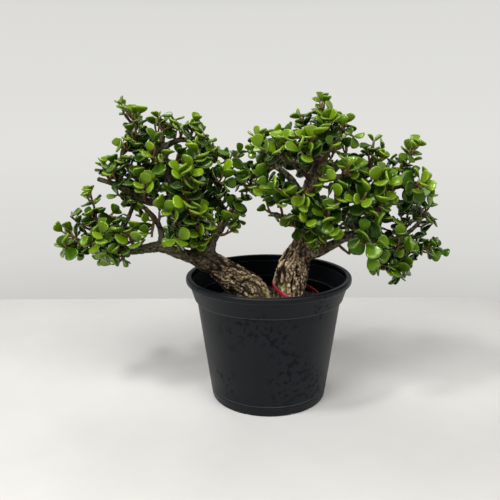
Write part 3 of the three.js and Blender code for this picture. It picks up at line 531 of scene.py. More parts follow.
def grow_crowns():
    """The sprays of both trees, with the leaves that the solids have."""
    crowd = Crowd()
    sprays = []
    for tree, table in SPRAYS.items():
        for i, items in enumerate(table):
            sprays.append({"name": f"spray_{tree}_{i + 1:02d}", "tree": tree, "items": items,
                           "strands": shoot_strands(items), "leaves": []})
    for spray in sprays:
        for path in spray["strands"]:
            crowd.add_stem(path, STEM["samples"])
    for limbs in LIMBS.values():
        for points in limbs.values():
            crowd.add_stem(limb_strand(points), (len(points) - 1) * 2)
    for number, spray in enumerate(sprays):
        for order, item in enumerate(spray["items"]):
            path = spray["strands"][order]
            seed = 1000 * number + 10 * order + 7
            spray["leaves"] += place_leaves(item, path, seed, crowd, PLACING["tries"])
    return sprays, crowd


# Materials: each is made of nodes that read the place on the piece and the tint of its points
BLACK, WHITE = (0, 0, 0), (1, 1, 1)


def node_adder(tree):
    """A short call that adds a node to the tree, with its inputs linked or set."""
    def add(kind, inputs=None, **settings):
        made = tree.nodes.new(kind)
        for key, value in settings.items():
            setattr(made, key, value)
        fill_sockets(tree, made, inputs or {})
        return made
    return add


def fill_sockets(tree, node, inputs):
    for key, value in inputs.items():
        if isinstance(value, bpy.types.NodeSocket):
            tree.links.new(value, node.inputs[key])
        else:
            node.inputs[key].default_value = value


def new_material(name):
    """A material's call for adding nodes, and the call that gives its shader a colour and a relief."""
    material = bpy.data.materials.new(name)
    material.use_nodes = True
    tree = material.node_tree
    add = node_adder(tree)

    def finish(colour, height, strength, distance, inputs):
        relief = add("ShaderNodeBump", {"Height": height, "Strength": strength, "Distance": distance})
        sockets = {"Base Color": colour, "Normal": relief.outputs["Normal"], **inputs}
        fill_sockets(tree, tree.nodes["Principled BSDF"], sockets)
        return material
    return add, finish


def ramp(add, factor, *stops):
    made = add("ShaderNodeValToRGB", {"Fac": factor})
    while len(made.color_ramp.elements) < len(stops):
        made.color_ramp.elements.new(0.5)
    for element, (place, colour) in zip(made.color_ramp.elements, stops):
        element.position = place
        element.color = (*colour, 1)
    return made.outputs["Color"]


def step(add, factor, start, end):
    """Black up to the start and white from the end on, or the other way round if the end comes first."""
    if start < end:
        return ramp(add, factor, (start, BLACK), (end, WHITE))
    return ramp(add, factor, (end, WHITE), (start, BLACK))


def mix(add, factor, a, b, blend="MIX"):
    made = add("ShaderNodeMix", {"Factor": factor}, data_type="RGBA", blend_type=blend)
    for socket, value in ((made.inputs[6], a), (made.inputs[7], b)):
        if isinstance(value, bpy.types.NodeSocket):
            made.id_data.links.new(value, socket)
        else:
            socket.default_value = (*value, 1)
    return made.outputs[2]


def object_place(add):
    return add("ShaderNodeTexCoord").outputs["Object"]


def height_of(add):
    return add("ShaderNodeSeparateXYZ", {"Vector": object_place(add)}).outputs["Z"]


def cloud(add, scale, detail, roughness=0.5):
    """Soft noise over the piece, from 0 to 1."""
    inputs = {"Vector": object_place(add), "Scale": scale, "Detail": detail, "Roughness": roughness}
    return add("ShaderNodeTexNoise", inputs).outputs["Fac"]


def channels(add):
    """The three numbers that each point's tint carries."""
    colour = add("ShaderNodeVertexColor", layer_name="tint").outputs["Color"]
    return add("ShaderNodeSeparateColor", {"Color": colour}).outputs


def leaf_material():
    """Bright yellow-green young leaves, deeper green old ones and ones darkened by painted shade, each a
    little different, with a pale rim that is partly the leaf's own pale edge and partly a painted highlight.
    """
    add, finish = new_material("fleshy_leaf")
    age, chance, rim = channels(add)
    green = ramp(add, age, (0.0, (0.117, 0.184, 0.0045)), (0.3, (0.037, 0.081, 0.0012)),
                 (0.65, (0.0098, 0.0295, 0.0003)), (1.0, (0.0024, 0.0095, 0.0002)))
    varied = mix(add, 0.5, green, mix(add, chance, green, (0.010, 0.022, 0.0018)))
    mottled = mix(add, cloud(add, 160, 3.0), varied, (0.9, 1.0, 0.75), "SOFT_LIGHT")
    # The pale rim: partly the leaf's own pale edge, partly a painted highlight along it
    pale_edge_and_highlight = ramp(add, rim, (0.70, BLACK), (1.0, (0.7, 0.7, 0.7)))
    colour = mix(add, pale_edge_and_highlight, mottled, mix(add, 0.3, mottled, (0.36, 0.46, 0.10)))
    return finish(colour, cloud(add, 420, 2.0), 0.05, 0.0004, {
        "Roughness": 0.18, "Specular IOR Level": 0.5, "Specular Tint": (0.75, 1.0, 0.5, 1),
        "Subsurface Weight": 0.06, "Subsurface Radius": (0.8, 1.0, 0.2), "Subsurface Scale": 0.002})


def stem_material():
    """Reddish young stems that turn to brown and grey below."""
    add, finish = new_material("young_stem")
    base = ramp(add, channels(add)[0], (0.0, (0.14, 0.13, 0.02)), (0.35, (0.12, 0.052, 0.02)),
                (1.0, (0.06, 0.04, 0.025)))
    mottle = cloud(add, 700, 4.0)
    colour = mix(add, mottle, base, (0.5, 0.42, 0.3), "SOFT_LIGHT")
    return finish(colour, mottle, 0.35, 0.0005, {"Roughness": 0.55})


# Heights in metres between which the wood takes on the darker tone of its upper part: painted shadow of the
# crown together with moss-blackening
SHADOW_AND_MOSS_HEIGHTS = (0.128, 0.152)


def bark_material(name, ridge, middle, crack, shade):
    """Furrowed bark: pale ridges, dark cracks, moss low down, a grey cast on the limbs, and upper wood
    darkened by painted shadow of the crown and by moss-blackening.
    """
    add, finish = new_material(name)
    depth, limb, moss = channels(add)
    colour = ramp(add, depth, (0.0, ridge), (0.3, middle), (0.6, crack), (0.85, (0.008, 0.005, 0.004)))
    patch = ramp(add, cloud(add, 110, 7.0, 0.75), (0.40, (0.16, 0.12, 0.11)), (0.60, (0.95, 0.90, 0.80)))
    colour = mix(add, 0.85, colour, patch, "OVERLAY")
    colour = mix(add, limb, colour, mix(add, 0.7, colour, (0.17, 0.165, 0.1)))
    flecks = ramp(add, cloud(add, 270, 2.0, 0.55), (0.36, (0.16, 0.12, 0.10)),
                  (0.48, (0.72, 0.70, 0.67)), (0.6, WHITE))
    colour = mix(add, 1.0, colour, flecks, "MULTIPLY")
    colour = mix(add, moss, colour, mix(add, flecks, (0.04, 0.045, 0.006), (0.40, 0.38, 0.09)))
    # The upper wood's darkening: painted shadow of the crown, together with moss-blackening
    shaded = {"Value": height_of(add), "From Min": SHADOW_AND_MOSS_HEIGHTS[0], "From Max": SHADOW_AND_MOSS_HEIGHTS[1]}
    above = mix(add, add("ShaderNodeMapRange", shaded).outputs["Result"], BLACK, WHITE)
    colour = mix(add, above, colour, mix(add, 1.0, colour, shade, "MULTIPLY"))
    return finish(colour, cloud(add, 420, 5.0, 0.75), 0.8, 0.0012,
                  {"Roughness": 0.88, "Specular IOR Level": 0.25})


# Heights of the pale lines painted along the pot's edges as highlights, and half the height of a line, in
# millimetres
EDGE_HIGHLIGHT_HEIGHTS, EDGE_HIGHLIGHT_HALF = (POT["line"] + 1.3, POT["collar"] + 0.5, POT["height"] - POT["bead"]), 0.55
# How much of its gloss the plastic keeps where it is damp
DAMP_GLOSS = 0.45


def pot_material(name="black_plastic", specular=0.2):
    """Matt black plastic with dust, damp stains and pale lines along its edges that are painted highlights.
    """
    add, finish = new_material(name)
    shade = cloud(add, 18, 4.0, 0.6)
    colour = ramp(add, shade, (0.3, (0.0018, 0.0032, 0.0048)), (0.7, (0.0038, 0.0062, 0.0085)))
    where = cloud(add, 17, 2.0)
    damp = mix(add, step(add, where, 0.50, 0.58), BLACK, step(add, cloud(add, 165, 3.0, 0.6), 0.53, 0.57))
    height = height_of(add)
    highlight_strength = mix(add, shade, BLACK, WHITE)
    # Pale lines along the edges: painted highlights
    for highlight_height in EDGE_HIGHLIGHT_HEIGHTS:
        line = add("ShaderNodeMath", {0: height, 1: highlight_height * MM, 2: EDGE_HIGHLIGHT_HALF * MM}, operation="COMPARE")
        colour = mix(add, mix(add, line.outputs[0], BLACK, highlight_strength), colour, (0.07, 0.075, 0.08))
    specks = add("ShaderNodeTexVoronoi", {"Vector": object_place(add), "Scale": 330}).outputs["Distance"]
    dust = mix(add, step(add, where, 0.47, 0.40), BLACK, step(add, specks, 0.055, 0.03))
    colour = mix(add, dust, colour, (0.16, 0.16, 0.15))
    return finish(colour, cloud(add, 900, 2.0), 0.18, 0.0002, {
        "Roughness": ramp(add, shade, (0.3, (0.36, 0.36, 0.36)), (0.7, (0.5, 0.5, 0.5))),
        "Specular IOR Level": ramp(add, damp, (0.0, (specular,) * 3), (1.0, (specular * DAMP_GLOSS,) * 3))})


def plain_material(name, low, high, scale, roughness, depth=0.0006):
    """Two tones of one colour, clouded, with a matching relief."""
    add, finish = new_material(name)
    grain = cloud(add, scale, 6.0, 0.65)
    return finish(ramp(add, grain, (0.35, low), (0.65, high)), grain, 0.5, depth, {"Roughness": roughness})


def noises(points):
    """Smooth noise between -1 and 1 at many points."""
    return np.array([noise.noise(point) for point in points.tolist()])


def unit_rows(vectors):
    return vectors / np.maximum(np.linalg.norm(vectors, axis=1, keepdims=True), 1e-9)


class Builder:
    """Gathers points in millimetres, faces and a tint for each point, and makes one piece of them."""

    def __init__(self):
        self.points, self.faces, self.tints, self.slots = [], [], [], []
        self.count = 0

    def add(self, points, faces, tints, slot=0):
        self.points.append(np.asarray(points, float))
        self.tints.append(np.broadcast_to(np.asarray(tints, float), (len(points), 3)))
        self.faces += [tuple(i + self.count for i in face) for face in faces]
        self.slots += [slot] * len(faces)
        self.count += len(points)

    def make(self, name, *materials):
        mesh = bpy.data.meshes.new(name)
        mesh.from_pydata((np.vstack(self.points) * MM).tolist(), [], self.faces)
        for material in materials:
            mesh.materials.append(material)
        mesh.polygons.foreach_set("material_index", self.slots)
        finish_mesh(mesh, np.vstack(self.tints))
        return linked(name, mesh)


def finish_mesh(mesh, tints):
    """Gives a mesh its tint for each point and smooth shading."""
    tint = mesh.color_attributes.new("tint", "FLOAT_COLOR", "POINT")
    tint.data.foreach_set("color", np.hstack([tints, np.ones((len(tints), 1))]).astype(np.float32).ravel())
    mesh.polygons.foreach_set("use_smooth", [True] * len(mesh.polygons))
    mesh.update()


def linked(name, mesh):
    piece = bpy.data.objects.new(name, mesh)
    bpy.context.scene.collection.objects.link(piece)
    return piece


def dressed(piece, slot, *nodes):
    """The piece rides on the object and stands for its nodes, whose solids are hidden; the slot is not used.
    """
    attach(piece, "root")
    if nodes:
        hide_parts(*nodes)
    return piece


def ring_faces(rings, sides):
    """Quads round a row of rings, with both ends closed."""
    faces = []
    for i in range(rings - 1):
        for j in range(sides):
            k = (j + 1) % sides
            faces.append((i * sides + j, i * sides + k, (i + 1) * sides + k, (i + 1) * sides + j))
    faces.append(tuple(range(sides - 1, -1, -1)))
    faces.append(tuple((rings - 1) * sides + j for j in range(sides)))
    return faces


def tube_points(path, sides, count, radius_at, last=1.0):
    """Rings of points along a strand; radius_at gives the radius at a share of its length."""
    angles = np.arange(sides) * (2 * math.pi / sides)
    rings = []
    for i in range(count):
        t = last * i / (count - 1)
        _, across, up = path.axes(t)
        out = np.outer(np.cos(angles), across) + np.outer(np.sin(angles), up)
        rings.append(path.curve.at(t) + out * radius_at(t))
    return np.vstack(rings)


# The fine leaf: a fleshy blade with a round tip, a narrow root, a fuller underside and a slight crease
BLADE = {"stations": 10, "sides": 14, "start": 0.12, "end": 0.985, "half": 0.52, "power": 0.42,
         "longer": 1.04, "upper": 0.045, "lower": 0.065, "upper_flesh": 0.6, "lower_flesh": 0.65,
         "full": 1.6, "least": 0.35, "blunt": 0.72, "dish": 0.3, "crease": 0.01, "crease_width": 0.2,
         "rim_power": 6, "rim_from": 0.92, "rim_over": 0.08}
# How leaves differ: the least share of the cup, what chance adds to it, and the curl of the tip
VARIED = {"cup": 0.75, "more_cup": 1.1, "curl": 0.16}
# A leaf is darker towards its root, and its underside is darkened as painted shade
LEAF_TONE_AND_SHADE = {"root": 0.26, "painted_under_shade": 0.12, "young": 0.1}
LEAF_FACES = ring_faces(BLADE["stations"], BLADE["sides"])


def blade_shares():
    """The same for every leaf: places along and across it, round it, its flesh, crease and rim."""
    stations = (1 - np.cos(np.linspace(BLADE["start"], BLADE["end"], BLADE["stations"]) * math.pi)) / 2
    peak = (1 / (1 + BLADE["power"])) * (BLADE["power"] / (1 + BLADE["power"])) ** BLADE["power"]
    half = BLADE["half"] * stations * (1 - stations) ** BLADE["power"] / peak
    angles = np.arange(BLADE["sides"]) * (2 * math.pi / BLADE["sides"])
    cosine, sine = (np.tile(np.sign(turn) * np.abs(turn) ** BLADE["blunt"], BLADE["stations"])
                    for turn in (np.cos(angles), np.sin(angles)))
    along, half = np.repeat(stations, BLADE["sides"]), np.repeat(half, BLADE["sides"])
    flesh = np.clip(BLADE["full"] * half / BLADE["half"], BLADE["least"], 1)
    crease = np.exp(-(cosine / BLADE["crease_width"]) ** 2) * (sine > 0) * np.clip(1 - along, 0, 1)
    rounded_tip = np.clip((along - BLADE["rim_from"]) / BLADE["rim_over"], 0, 1)
    rim = np.maximum(np.abs(cosine) ** BLADE["rim_power"], rounded_tip)
    return along, half * cosine, cosine, sine, flesh, crease, rim


ALONG, ACROSS, COSINE, SINE, FLESH, CREASE, RIM = blade_shares()


def add_leaf_mesh(builder, leaf, chance):
    upper = BLADE["upper"] * leaf.length + BLADE["upper_flesh"]
    lower = BLADE["lower"] * leaf.length + BLADE["lower_flesh"]
    height = np.where(SINE > 0, upper, lower) * SINE * FLESH
    height *= np.where(SINE > 0, 1 - BLADE["dish"] * (1 - COSINE ** 2), 1)
    height -= BLADE["crease"] * leaf.length * CREASE
    cup = LEAF["cup"] * (VARIED["cup"] + VARIED["more_cup"] * chance)
    curl = VARIED["curl"] * (0.5 - (7 * chance) % 1) * ALONG ** 3 * leaf.length
    bend = cup * ACROSS ** 2 * leaf.width - LEAF["droop"] * ALONG ** 2 * leaf.length + curl
    grown = BLADE["longer"]
    points = (leaf.root + np.outer(ALONG * leaf.length * grown, leaf.direction)
              + np.outer(ACROSS * leaf.width * grown, leaf.across) + np.outer(bend + height, leaf.normal))
    # The underside's darkening is painted shade, carried in the age tint
    age = leaf.age + LEAF_TONE_AND_SHADE["root"] * (1 - ALONG) + LEAF_TONE_AND_SHADE["painted_under_shade"] * (SINE < 0) - LEAF_TONE_AND_SHADE["young"]
    builder.add(points, LEAF_FACES, np.stack([np.clip(age, 0, 1), np.full(len(points), chance), RIM], 1))


# The fine stem of a shoot, a little swollen where its pairs of leaves grow
SHOOT = {"sides": 8, "step": 2.4, "thick": 2.0, "thin": 1.25, "knuckle": 0.14, "between": 11}


def add_stem_mesh(builder, path, thick, thin, chance, last=1.0):
    def radius_at(t):
        knuckle = SHOOT["knuckle"] * math.cos(t * path.length * 2 * math.pi / SHOOT["between"])
        return lerp(thick, thin, t) * (1 + knuckle)
    count = max(4, int(path.length / SHOOT["step"]))
    points = tube_points(path, SHOOT["sides"], count, radius_at, last)
    age = np.repeat(np.linspace(min(1.0, thick / SHOOT["thick"]), 0, count), SHOOT["sides"])
    tints = np.stack([age, np.full(len(age), chance), np.zeros(len(age))], 1)
    builder.add(points, ring_faces(count, SHOOT["sides"]), tints, 1)


# Finer foliage: short side twigs that fill the crown between the shoots and stay within its outline
FILL = {"seed": 4211, "stride": 5.0, "limb_stride": 4.2, "thinnest": 6.6, "short": 5, "long": 17,
        "one_pair": 10, "leaf": (11.5, 16), "overlap": 0.1, "spacing": 0.6, "out": 0.6, "up": 0.25,
        "ahead": 0.3, "rise": 0.35, "near": 22.5, "thick": 1.35, "thin": 1.0, "tries": 5, "gap": 0.75,
        "shoot_from": 0.1, "limb_from": 0.25, "to": 0.97, "inset": 8}
# Leaves near the front are larger: how much, from what depth on, and over what depth
NEARER = {"larger": 3.5, "from": 10, "over": 40}
# Where a new twig is checked: from this share on, at so many spots, and its middle
TWIG_CHECK = {"from": 0.35, "spots": 6, "middle": 0.65}
# More shoots behind and between the sprays: tree, pairs of leaves, leaf size, and points from the limb
MORE_SHOOTS = [
    ("left", 2, 17, [-86, 2, 186], [-89, -15, 189], [-91, -24, 196]),
    ("left", 2, 16, [-88, 3, 194], [-88, -12, 200], [-84, -22, 207]),
    ("left", 3, 14, [-117, 7, 271], [-109, -2, 285], [-104, -8, 299]),
    ("left", 3, 14, [-126, 6, 281], [-119, -4, 291], [-114, -9, 304]),
    ("left", 3, 13, [-100, 4, 250], [-97, -6, 268], [-95, -10, 284]),
    ("left", 2, 14, [-48, -7, 229], [-56, -8, 240], [-62, -10, 251]),
    ("left", 2, 14, [-72, 10, 260], [-64, 2, 252], [-56, -4, 246]),
    ("left", 2, 13, [-139, 4, 241], [-135, -5, 248], [-128, -8, 257]),
    ("left", 2, 12, [-130, -14, 218], [-127, -18, 225], [-127, -19, 233]),
    ("left", 2, 12, [-181, 2, 262], [-176, -4, 266], [-171, -8, 272]),
    ("left", 2, 12, [-139, -12, 230], [-147, -15, 227], [-155, -16, 229]),
    ("left", 2, 14, [-156, -1, 331], [-162, -7, 341], [-165, -11, 349]),
    ("left", 2, 14, [-152, -2, 326], [-149, -8, 337], [-145, -11, 345]),
    ("right", 2, 15, [141, 3, 254], [148, -5, 248], [154, -9, 240]),
    ("right", 2, 14, [126, 1, 252], [135, -6, 244], [141, -9, 233]),
    ("right", 2, 14, [80, -10, 193], [87, -15, 187], [95, -17, 181]),
    ("right", 2, 14, [-18, -6, 261], [-18, -9, 256], [-15, -11, 249]),
    ("right", 2, 13, [15, -13, 226], [15, -15, 231], [13, -15, 238]),
    ("right", 2, 13, [85, -12, 198], [84, -15, 207], [84, -16, 217]),
    ("right", 2, 13, [156, 5, 258], [164, -2, 254], [171, -5, 248]),
]
CROWN_CENTRES = {"left": np.array([-140, 0, 240]), "right": np.array([75, 0, 245])}

# How far each crown reaches from the front: x and z on an upright plane through the limbs
CROWN_OUTLINES = {
    "left": [(-176, 350), (-166, 360), (-154, 356), (-143, 353), (-124, 344), (-105, 344), (-90, 336),
             (-78, 343), (-71, 335), (-76, 327), (-70, 322), (-68, 312), (-60, 306), (-45, 303), (-27, 301),
             (-24, 284), (-37, 270), (-55, 274), (-54, 262), (-58, 256), (-50, 254), (-37, 249), (-28, 248),
             (-16, 237), (-30, 231), (-32, 220), (-38, 204), (-52, 198), (-62, 199), (-76, 181), (-106, 180),
             (-142, 180), (-171, 167), (-203, 170), (-214, 180), (-235, 173), (-251, 188), (-253, 212),
             (-231, 227), (-220, 245), (-217, 257), (-207, 263), (-198, 255), (-195, 227), (-182, 220),
             (-172, 228), (-173, 245), (-155, 247), (-158, 256), (-196, 267), (-201, 283), (-196, 296),
             (-168, 298), (-177, 307), (-176, 314), (-162, 320), (-167, 330), (-151, 338)],
    "right": [(50, 362), (58, 367), (68, 363), (67, 352), (90, 342), (99, 324), (92, 317), (71, 304),
              (80, 296), (95, 299), (108, 312), (121, 317), (136, 311), (131, 298), (140, 291), (151, 300),
              (152, 313), (167, 317), (179, 313), (186, 299), (175, 290), (187, 275), (195, 264), (195, 250),
              (188, 236), (197, 219), (193, 202), (210, 192), (212, 178), (203, 165), (186, 174), (171, 160),
              (176, 139), (162, 140), (148, 142), (122, 164), (113, 175), (89, 184), (70, 180), (34, 180),
              (40, 202), (35, 218), (20, 220), (0, 223), (-6, 230), (-2, 237), (-4, 242), (-12, 249),
              (-19, 249), (-30, 252), (-40, 256), (-36, 271), (-34, 279), (-22, 287), (-12, 290), (-17, 302),
              (-23, 314), (-20, 320), (-6, 328), (21, 328), (31, 344), (46, 348)],
}
CROWNS = {tree: Outline(corners) for tree, corners in CROWN_OUTLINES.items()}


def twig_from(start, tangent, centre, draw):
    """A short twig off a stem, turned outwards and up by chance, with a slight bend."""
    wild = np.array([draw(), draw(), draw()]) * 2 - 1
    wild -= tangent * (wild @ tangent)
    heading = unit(unit(wild) + FILL["out"] * unit(start - centre) + FILL["up"] * Z_AXIS
                   + FILL["ahead"] * tangent)
    length = lerp(FILL["short"], FILL["long"], draw())
    tip = start + unit(heading + FILL["rise"] * Z_AXIS) * length
    twig = Shoot([start, start + heading * length * 0.5, tip])
    twig.radii = [FILL["thick"], FILL["thin"]]
    return twig


def twig_is_clear(twig, crowd, own):
    shares = np.linspace(TWIG_CHECK["from"], 1, TWIG_CHECK["spots"])
    samples = np.array([twig.point(t) for t in shares])
    middle = twig.point(TWIG_CHECK["middle"])
    return not fills_gap(samples) and crowd.is_clear(samples, middle, twig.length / 2, own)


def twig_parents(sprays):
    """Every shoot and limb that twigs may grow from, with where the twigs are kept and how many to try."""
    parents, loose = [], {}
    for spray in sprays:
        spray["twigs"] = []
        for path in spray["strands"]:
            count = path.length / FILL["stride"]
            parents.append((spray, spray["tree"], path, count, FILL["shoot_from"]))
    for tree, limbs in LIMBS.items():
        loose[tree] = {"strands": [], "twigs": [], "leaves": []}
        for name, points in limbs.items():
            if name != "trunk":
                path = limb_strand(points)
                count = path.length / FILL["limb_stride"]
                parents.append((loose[tree], tree, path, count, FILL["limb_from"]))
    return parents, loose


def leaf_fits(tree, leaf):
    """Whether a leaf keeps the gaps open and its middle and tip within the crown's outline."""
    tip = leaf.root + leaf.direction * leaf.length * BLADE["longer"]
    ends = seen_from_front(np.array([leaf.centre, tip]))
    return not fills_gap(leaf.samples, FILL["overlap"]) and CROWNS[tree].holds(ends).all()


def fill_crown(sprays, crowd):
    """Twigs with their own leaves, off the shoots and the thin limbs."""
    draw = random_source(FILL["seed"])
    low, high = np.array(CAD_BOX[0]) / MM + FILL["inset"], np.array(CAD_BOX[1]) / MM - FILL["inset"]
    crowd.gap = FILL["gap"]
    parents, loose = twig_parents(sprays)
    for number, (tree, pairs, leaf, *points) in enumerate(MORE_SHOOTS):
        more = Shoot(points)
        item = {"pairs": pairs, "leaf": leaf, "spacing": PAIRS["spacing"]}
        grown = place_leaves(item, more, number, crowd, PLACING["tries"], lambda leaf: leaf_fits(tree, leaf))
        crowd.add_stem(more, STEM["samples"])
        loose[tree]["strands"].append(more)
        loose[tree]["leaves"] += grown
        parents.append((loose[tree], tree, more, more.length / FILL["stride"], FILL["shoot_from"]))
    first = crowd.centres.copy()
    for target, tree, path, count, lowest in parents:
        for _ in range(round(count)):
            for _ in range(FILL["tries"]):
                t = lerp(lowest, FILL["to"], draw())
                seed = int(draw() * 1e6)
                if path.radius(t) > FILL["thinnest"]:
                    continue
                place = path.point(t) if isinstance(path, Shoot) else path.curve.at(t)
                twig = twig_from(place, path.curve.tangent(t), CROWN_CENTRES[tree], draw)
                tip = twig.point(1)
                if np.linalg.norm(first - tip, axis=1).min() > FILL["near"]:
                    continue
                if (tip < low).any() or (tip > high).any() or not twig_is_clear(twig, crowd, id(path)):
                    continue
                share = min(max((-tip[1] - NEARER["from"]) / NEARER["over"], 0), 1)
                size = lerp(*FILL["leaf"], draw()) + share * NEARER["larger"]
                pairs = 1 if twig.length < FILL["one_pair"] else 2
                item = {"pairs": pairs, "leaf": size, "spacing": FILL["spacing"]}
                grown = place_leaves(item, twig, seed, crowd, PLACING["tries"],
                                     lambda leaf: leaf_fits(tree, leaf))
                if grown:
                    twig.last = max(leaf.share for leaf in grown)
                    crowd.add_stem(twig, 2)
                    target["twigs"].append(twig)
                    target["leaves"] += grown
                    break
    return loose


# Painted shade: leaves that have this many others over them, out and up from them within a reach, are
# darkened through their age tint
INNER_SHADE = {"reach": 32, "over": 5, "few": 6, "many": 16, "most": 0.6, "up": 0.4}
# Low leaves are made darker than high ones, most of all on the right tree
LOW = {"from": 270, "fall": 80, "left": 0.05, "right": 0.26}


def shade_inner_leaves(leaves, crowd, tree):
    """Painted shade darkens leaves with many others outside them; low leaves are darkened too."""
    for leaf in leaves:
        outward = unit(leaf.centre - CROWN_CENTRES[tree]) + INNER_SHADE["up"] * Z_AXIS
        steps = crowd.centres - leaf.centre
        close = (steps * steps).sum(1) < INNER_SHADE["reach"] ** 2
        over = (close & (steps @ outward > INNER_SHADE["over"])).sum()
        inner = INNER_SHADE["most"] * min(max((over - INNER_SHADE["few"]) / INNER_SHADE["many"], 0), 1)
        low = LOW[tree] * min(max((LOW["from"] - leaf.centre[2]) / LOW["fall"], 0), 1)
        # The inner darkening is painted shade, added to the age tint
        leaf.age = min(1.0, leaf.age + inner + low)


# Wood: the limbs of a tree flow together, and the bark is drawn out along them
SKIN = {"voxel": 1.0, "blend": 2.2, "start_sides": 18, "start_step": 3, "pieces": 4, "rounds": 3,
        "most": 2, "share": 0.03}
GROOVE = {"share": 0.5, "narrow": 1.5, "wide": 8.5, "stretch": 3.6, "depth": 0.15, "deepest": 2.7,
          "sharp": 3.6, "knots": 0.09, "knot_size": 17, "fine": 0.3, "least": 0.12}
# Slim limbs swell and shrink along their length, and are greyer than the trunk
SLIM = {"from": 13, "over": 6, "swell": 0.13, "size": 7.5, "grey_over": 7}
# Cracks that cross the furrows, fine splits between them, the plates that stand over them, and how
# far everything is drawn out of line
CROSSING = {"stretch": (1.5, 1.5, 2.6), "share": 0.7, "sharp": 1.6, "edge": 1.3}
SPLIT = {"stretch": (1, 1, 2.2), "share": 0.6, "sharp": 3.2, "edge": 1.5}
PLATE = {"high": 0.5, "sharp": 2.2, "rough": 0.35, "rough_size": 0.42}
WARP = {"scale": 1.7, "strength": 0.35}
# Moss grows low on the wood, in patches, and more on one side than on the other
MOSS = {"top": 139, "fade": 22, "patch": 1.6, "wide": 9, "narrow": 4, "less": 0.2, "base": 0.45,
        "most": 0.8}
# Burls on the wood: x, y, z, how wide and how high
BURLS = [(-66, -17, 174, 9, 3.5), (-80, -13, 165, 7, 2.5), (-52, -20, 152, 8, 2.2), (-104, -16, 182, 5, 1.6),
         (-124, -17, 187, 5, 1.5), (31, -1, 187, 5.5, 4.5), (14, -3, 160, 8, 2.5), (38, -8, 158, 8, 2.2),
         (-20, -30, 128, 10, 2.5), (46, -2, 200, 5, 1.8), (48, 0, 236, 5, 1.6)]


class Limb:
    """A limb as a row of short straight pieces, for the distances of many points at once."""

    def __init__(self, points, relief):
        self.path = limb_strand(points)
        self.relief = relief
        count = max(4, int(self.path.length / SKIN["pieces"]))
        shares = np.linspace(0, 1, count + 1)
        self.places = np.array([self.path.curve.at(t) for t in shares])
        self.radii = np.array([self.path.radius(t) for t in shares])
        axes = [self.path.axes(t) for t in shares]
        self.across = np.array([axis[1] for axis in axes])
        self.up = np.array([axis[2] for axis in axes])
        self.width = float(np.clip(GROOVE["share"] * self.radii.mean(), GROOVE["narrow"], GROOVE["wide"]))

    def measure(self, points):
        """For each point: its height over the limb's surface, the way out, and its place on the limb."""
        start, run = self.places[:-1], np.diff(self.places, axis=0)
        share = np.empty((len(points), len(start)))
        gap = np.empty((len(points), len(start)))
        for i in range(len(start)):
            offset = points - start[i]
            share[:, i] = np.clip(offset @ run[i] / (run[i] @ run[i]), 0, 1)
            gap[:, i] = np.linalg.norm(offset - share[:, i:i + 1] * run[i], axis=1)
        best = gap.argmin(1)
        rows = np.arange(len(points))
        place = best + share[rows, best]
        steps = np.arange(len(self.places))

        def at(values):
            if values.ndim == 1:
                return np.interp(place, steps, values)
            return np.stack([np.interp(place, steps, column) for column in values.T], 1)
        out = unit_rows(points - at(self.places))
        x, y = (out * at(self.across)).sum(1), (out * at(self.up)).sum(1)
        angle, t = np.arctan2(y, x), place / steps[-1]
        radius = at(self.radii)
        full = radius * (1 + self.relief * (np.sin(3 * angle + 5 * t) + np.cos(2 * angle - 9 * t)))
        full *= 1 + GROOVE["knots"] * noises(points / GROOVE["knot_size"])
        slim = np.clip((SLIM["from"] - radius) / SLIM["over"], 0, 1)
        full *= 1 + slim * SLIM["swell"] * noises(points / SLIM["size"])
        spot = np.stack([x * radius, y * radius, t * self.path.length], 1)
        return gap[rows, best] - full, out, spot, radius


def tree_skin(limbs):
    """The closed mesh of a tree's wood: rough tubes, joined into one, to be drawn onto one smooth blend of
    the limbs later.
    """
    builder = Builder()
    for points in limbs.values():
        path = limb_strand(points)
        count = int(path.length / SKIN["start_step"])
        placed = tube_points(path, SKIN["start_sides"], count, path.radius)
        builder.add(placed, ring_faces(count, SKIN["start_sides"]), (0, 0, 0))
    rough = builder.make("rough_wood")
    remesh = rough.modifiers.new("join", "REMESH")
    remesh.mode = "VOXEL"
    remesh.voxel_size = SKIN["voxel"] * MM
    joined = bpy.data.meshes.new_from_object(rough.evaluated_get(bpy.context.evaluated_depsgraph_get()))
    bpy.data.objects.remove(rough)
    return joined


def points_of(mesh):
    points = np.empty(len(mesh.vertices) * 3)
    mesh.vertices.foreach_get("co", points)
    return points.reshape(-1, 3) / MM


def crack_along(field, sharp, edge):
    """How deep a crack is, from 0 to 1: it runs where the noise crosses nought."""
    return np.clip(1 - np.abs(field) * sharp, 0, 1) ** edge


def bark_relief(place, width, seed):
    """Furrows and plates: how deep the groove is, from 0 to 1, and how high the plate stands."""
    drawn = place / np.array([width, width, width * GROOVE["stretch"]]) + seed
    warp = noises(drawn * WARP["scale"] + 11)[:, None] * WARP["strength"]
    furrow = noises(drawn + warp)
    crossing = noises(drawn * np.array(CROSSING["stretch"]) + 31 + warp) * CROSSING["sharp"]
    split = noises(place / np.array(SPLIT["stretch"]) / (width * GROOVE["fine"]) + seed + warp)
    crack = crack_along(furrow, GROOVE["sharp"], CROSSING["edge"])
    across = CROSSING["share"] * crack_along(crossing, GROOVE["sharp"], CROSSING["edge"])
    fine = SPLIT["share"] * crack_along(split, SPLIT["sharp"], SPLIT["edge"])
    rough = noises(place / (width * PLATE["rough_size"]) + seed)
    plate = PLATE["high"] * np.minimum(np.abs(furrow) * PLATE["sharp"], 1) + PLATE["rough"] * rough
    return np.maximum(np.maximum(crack, across), fine), plate


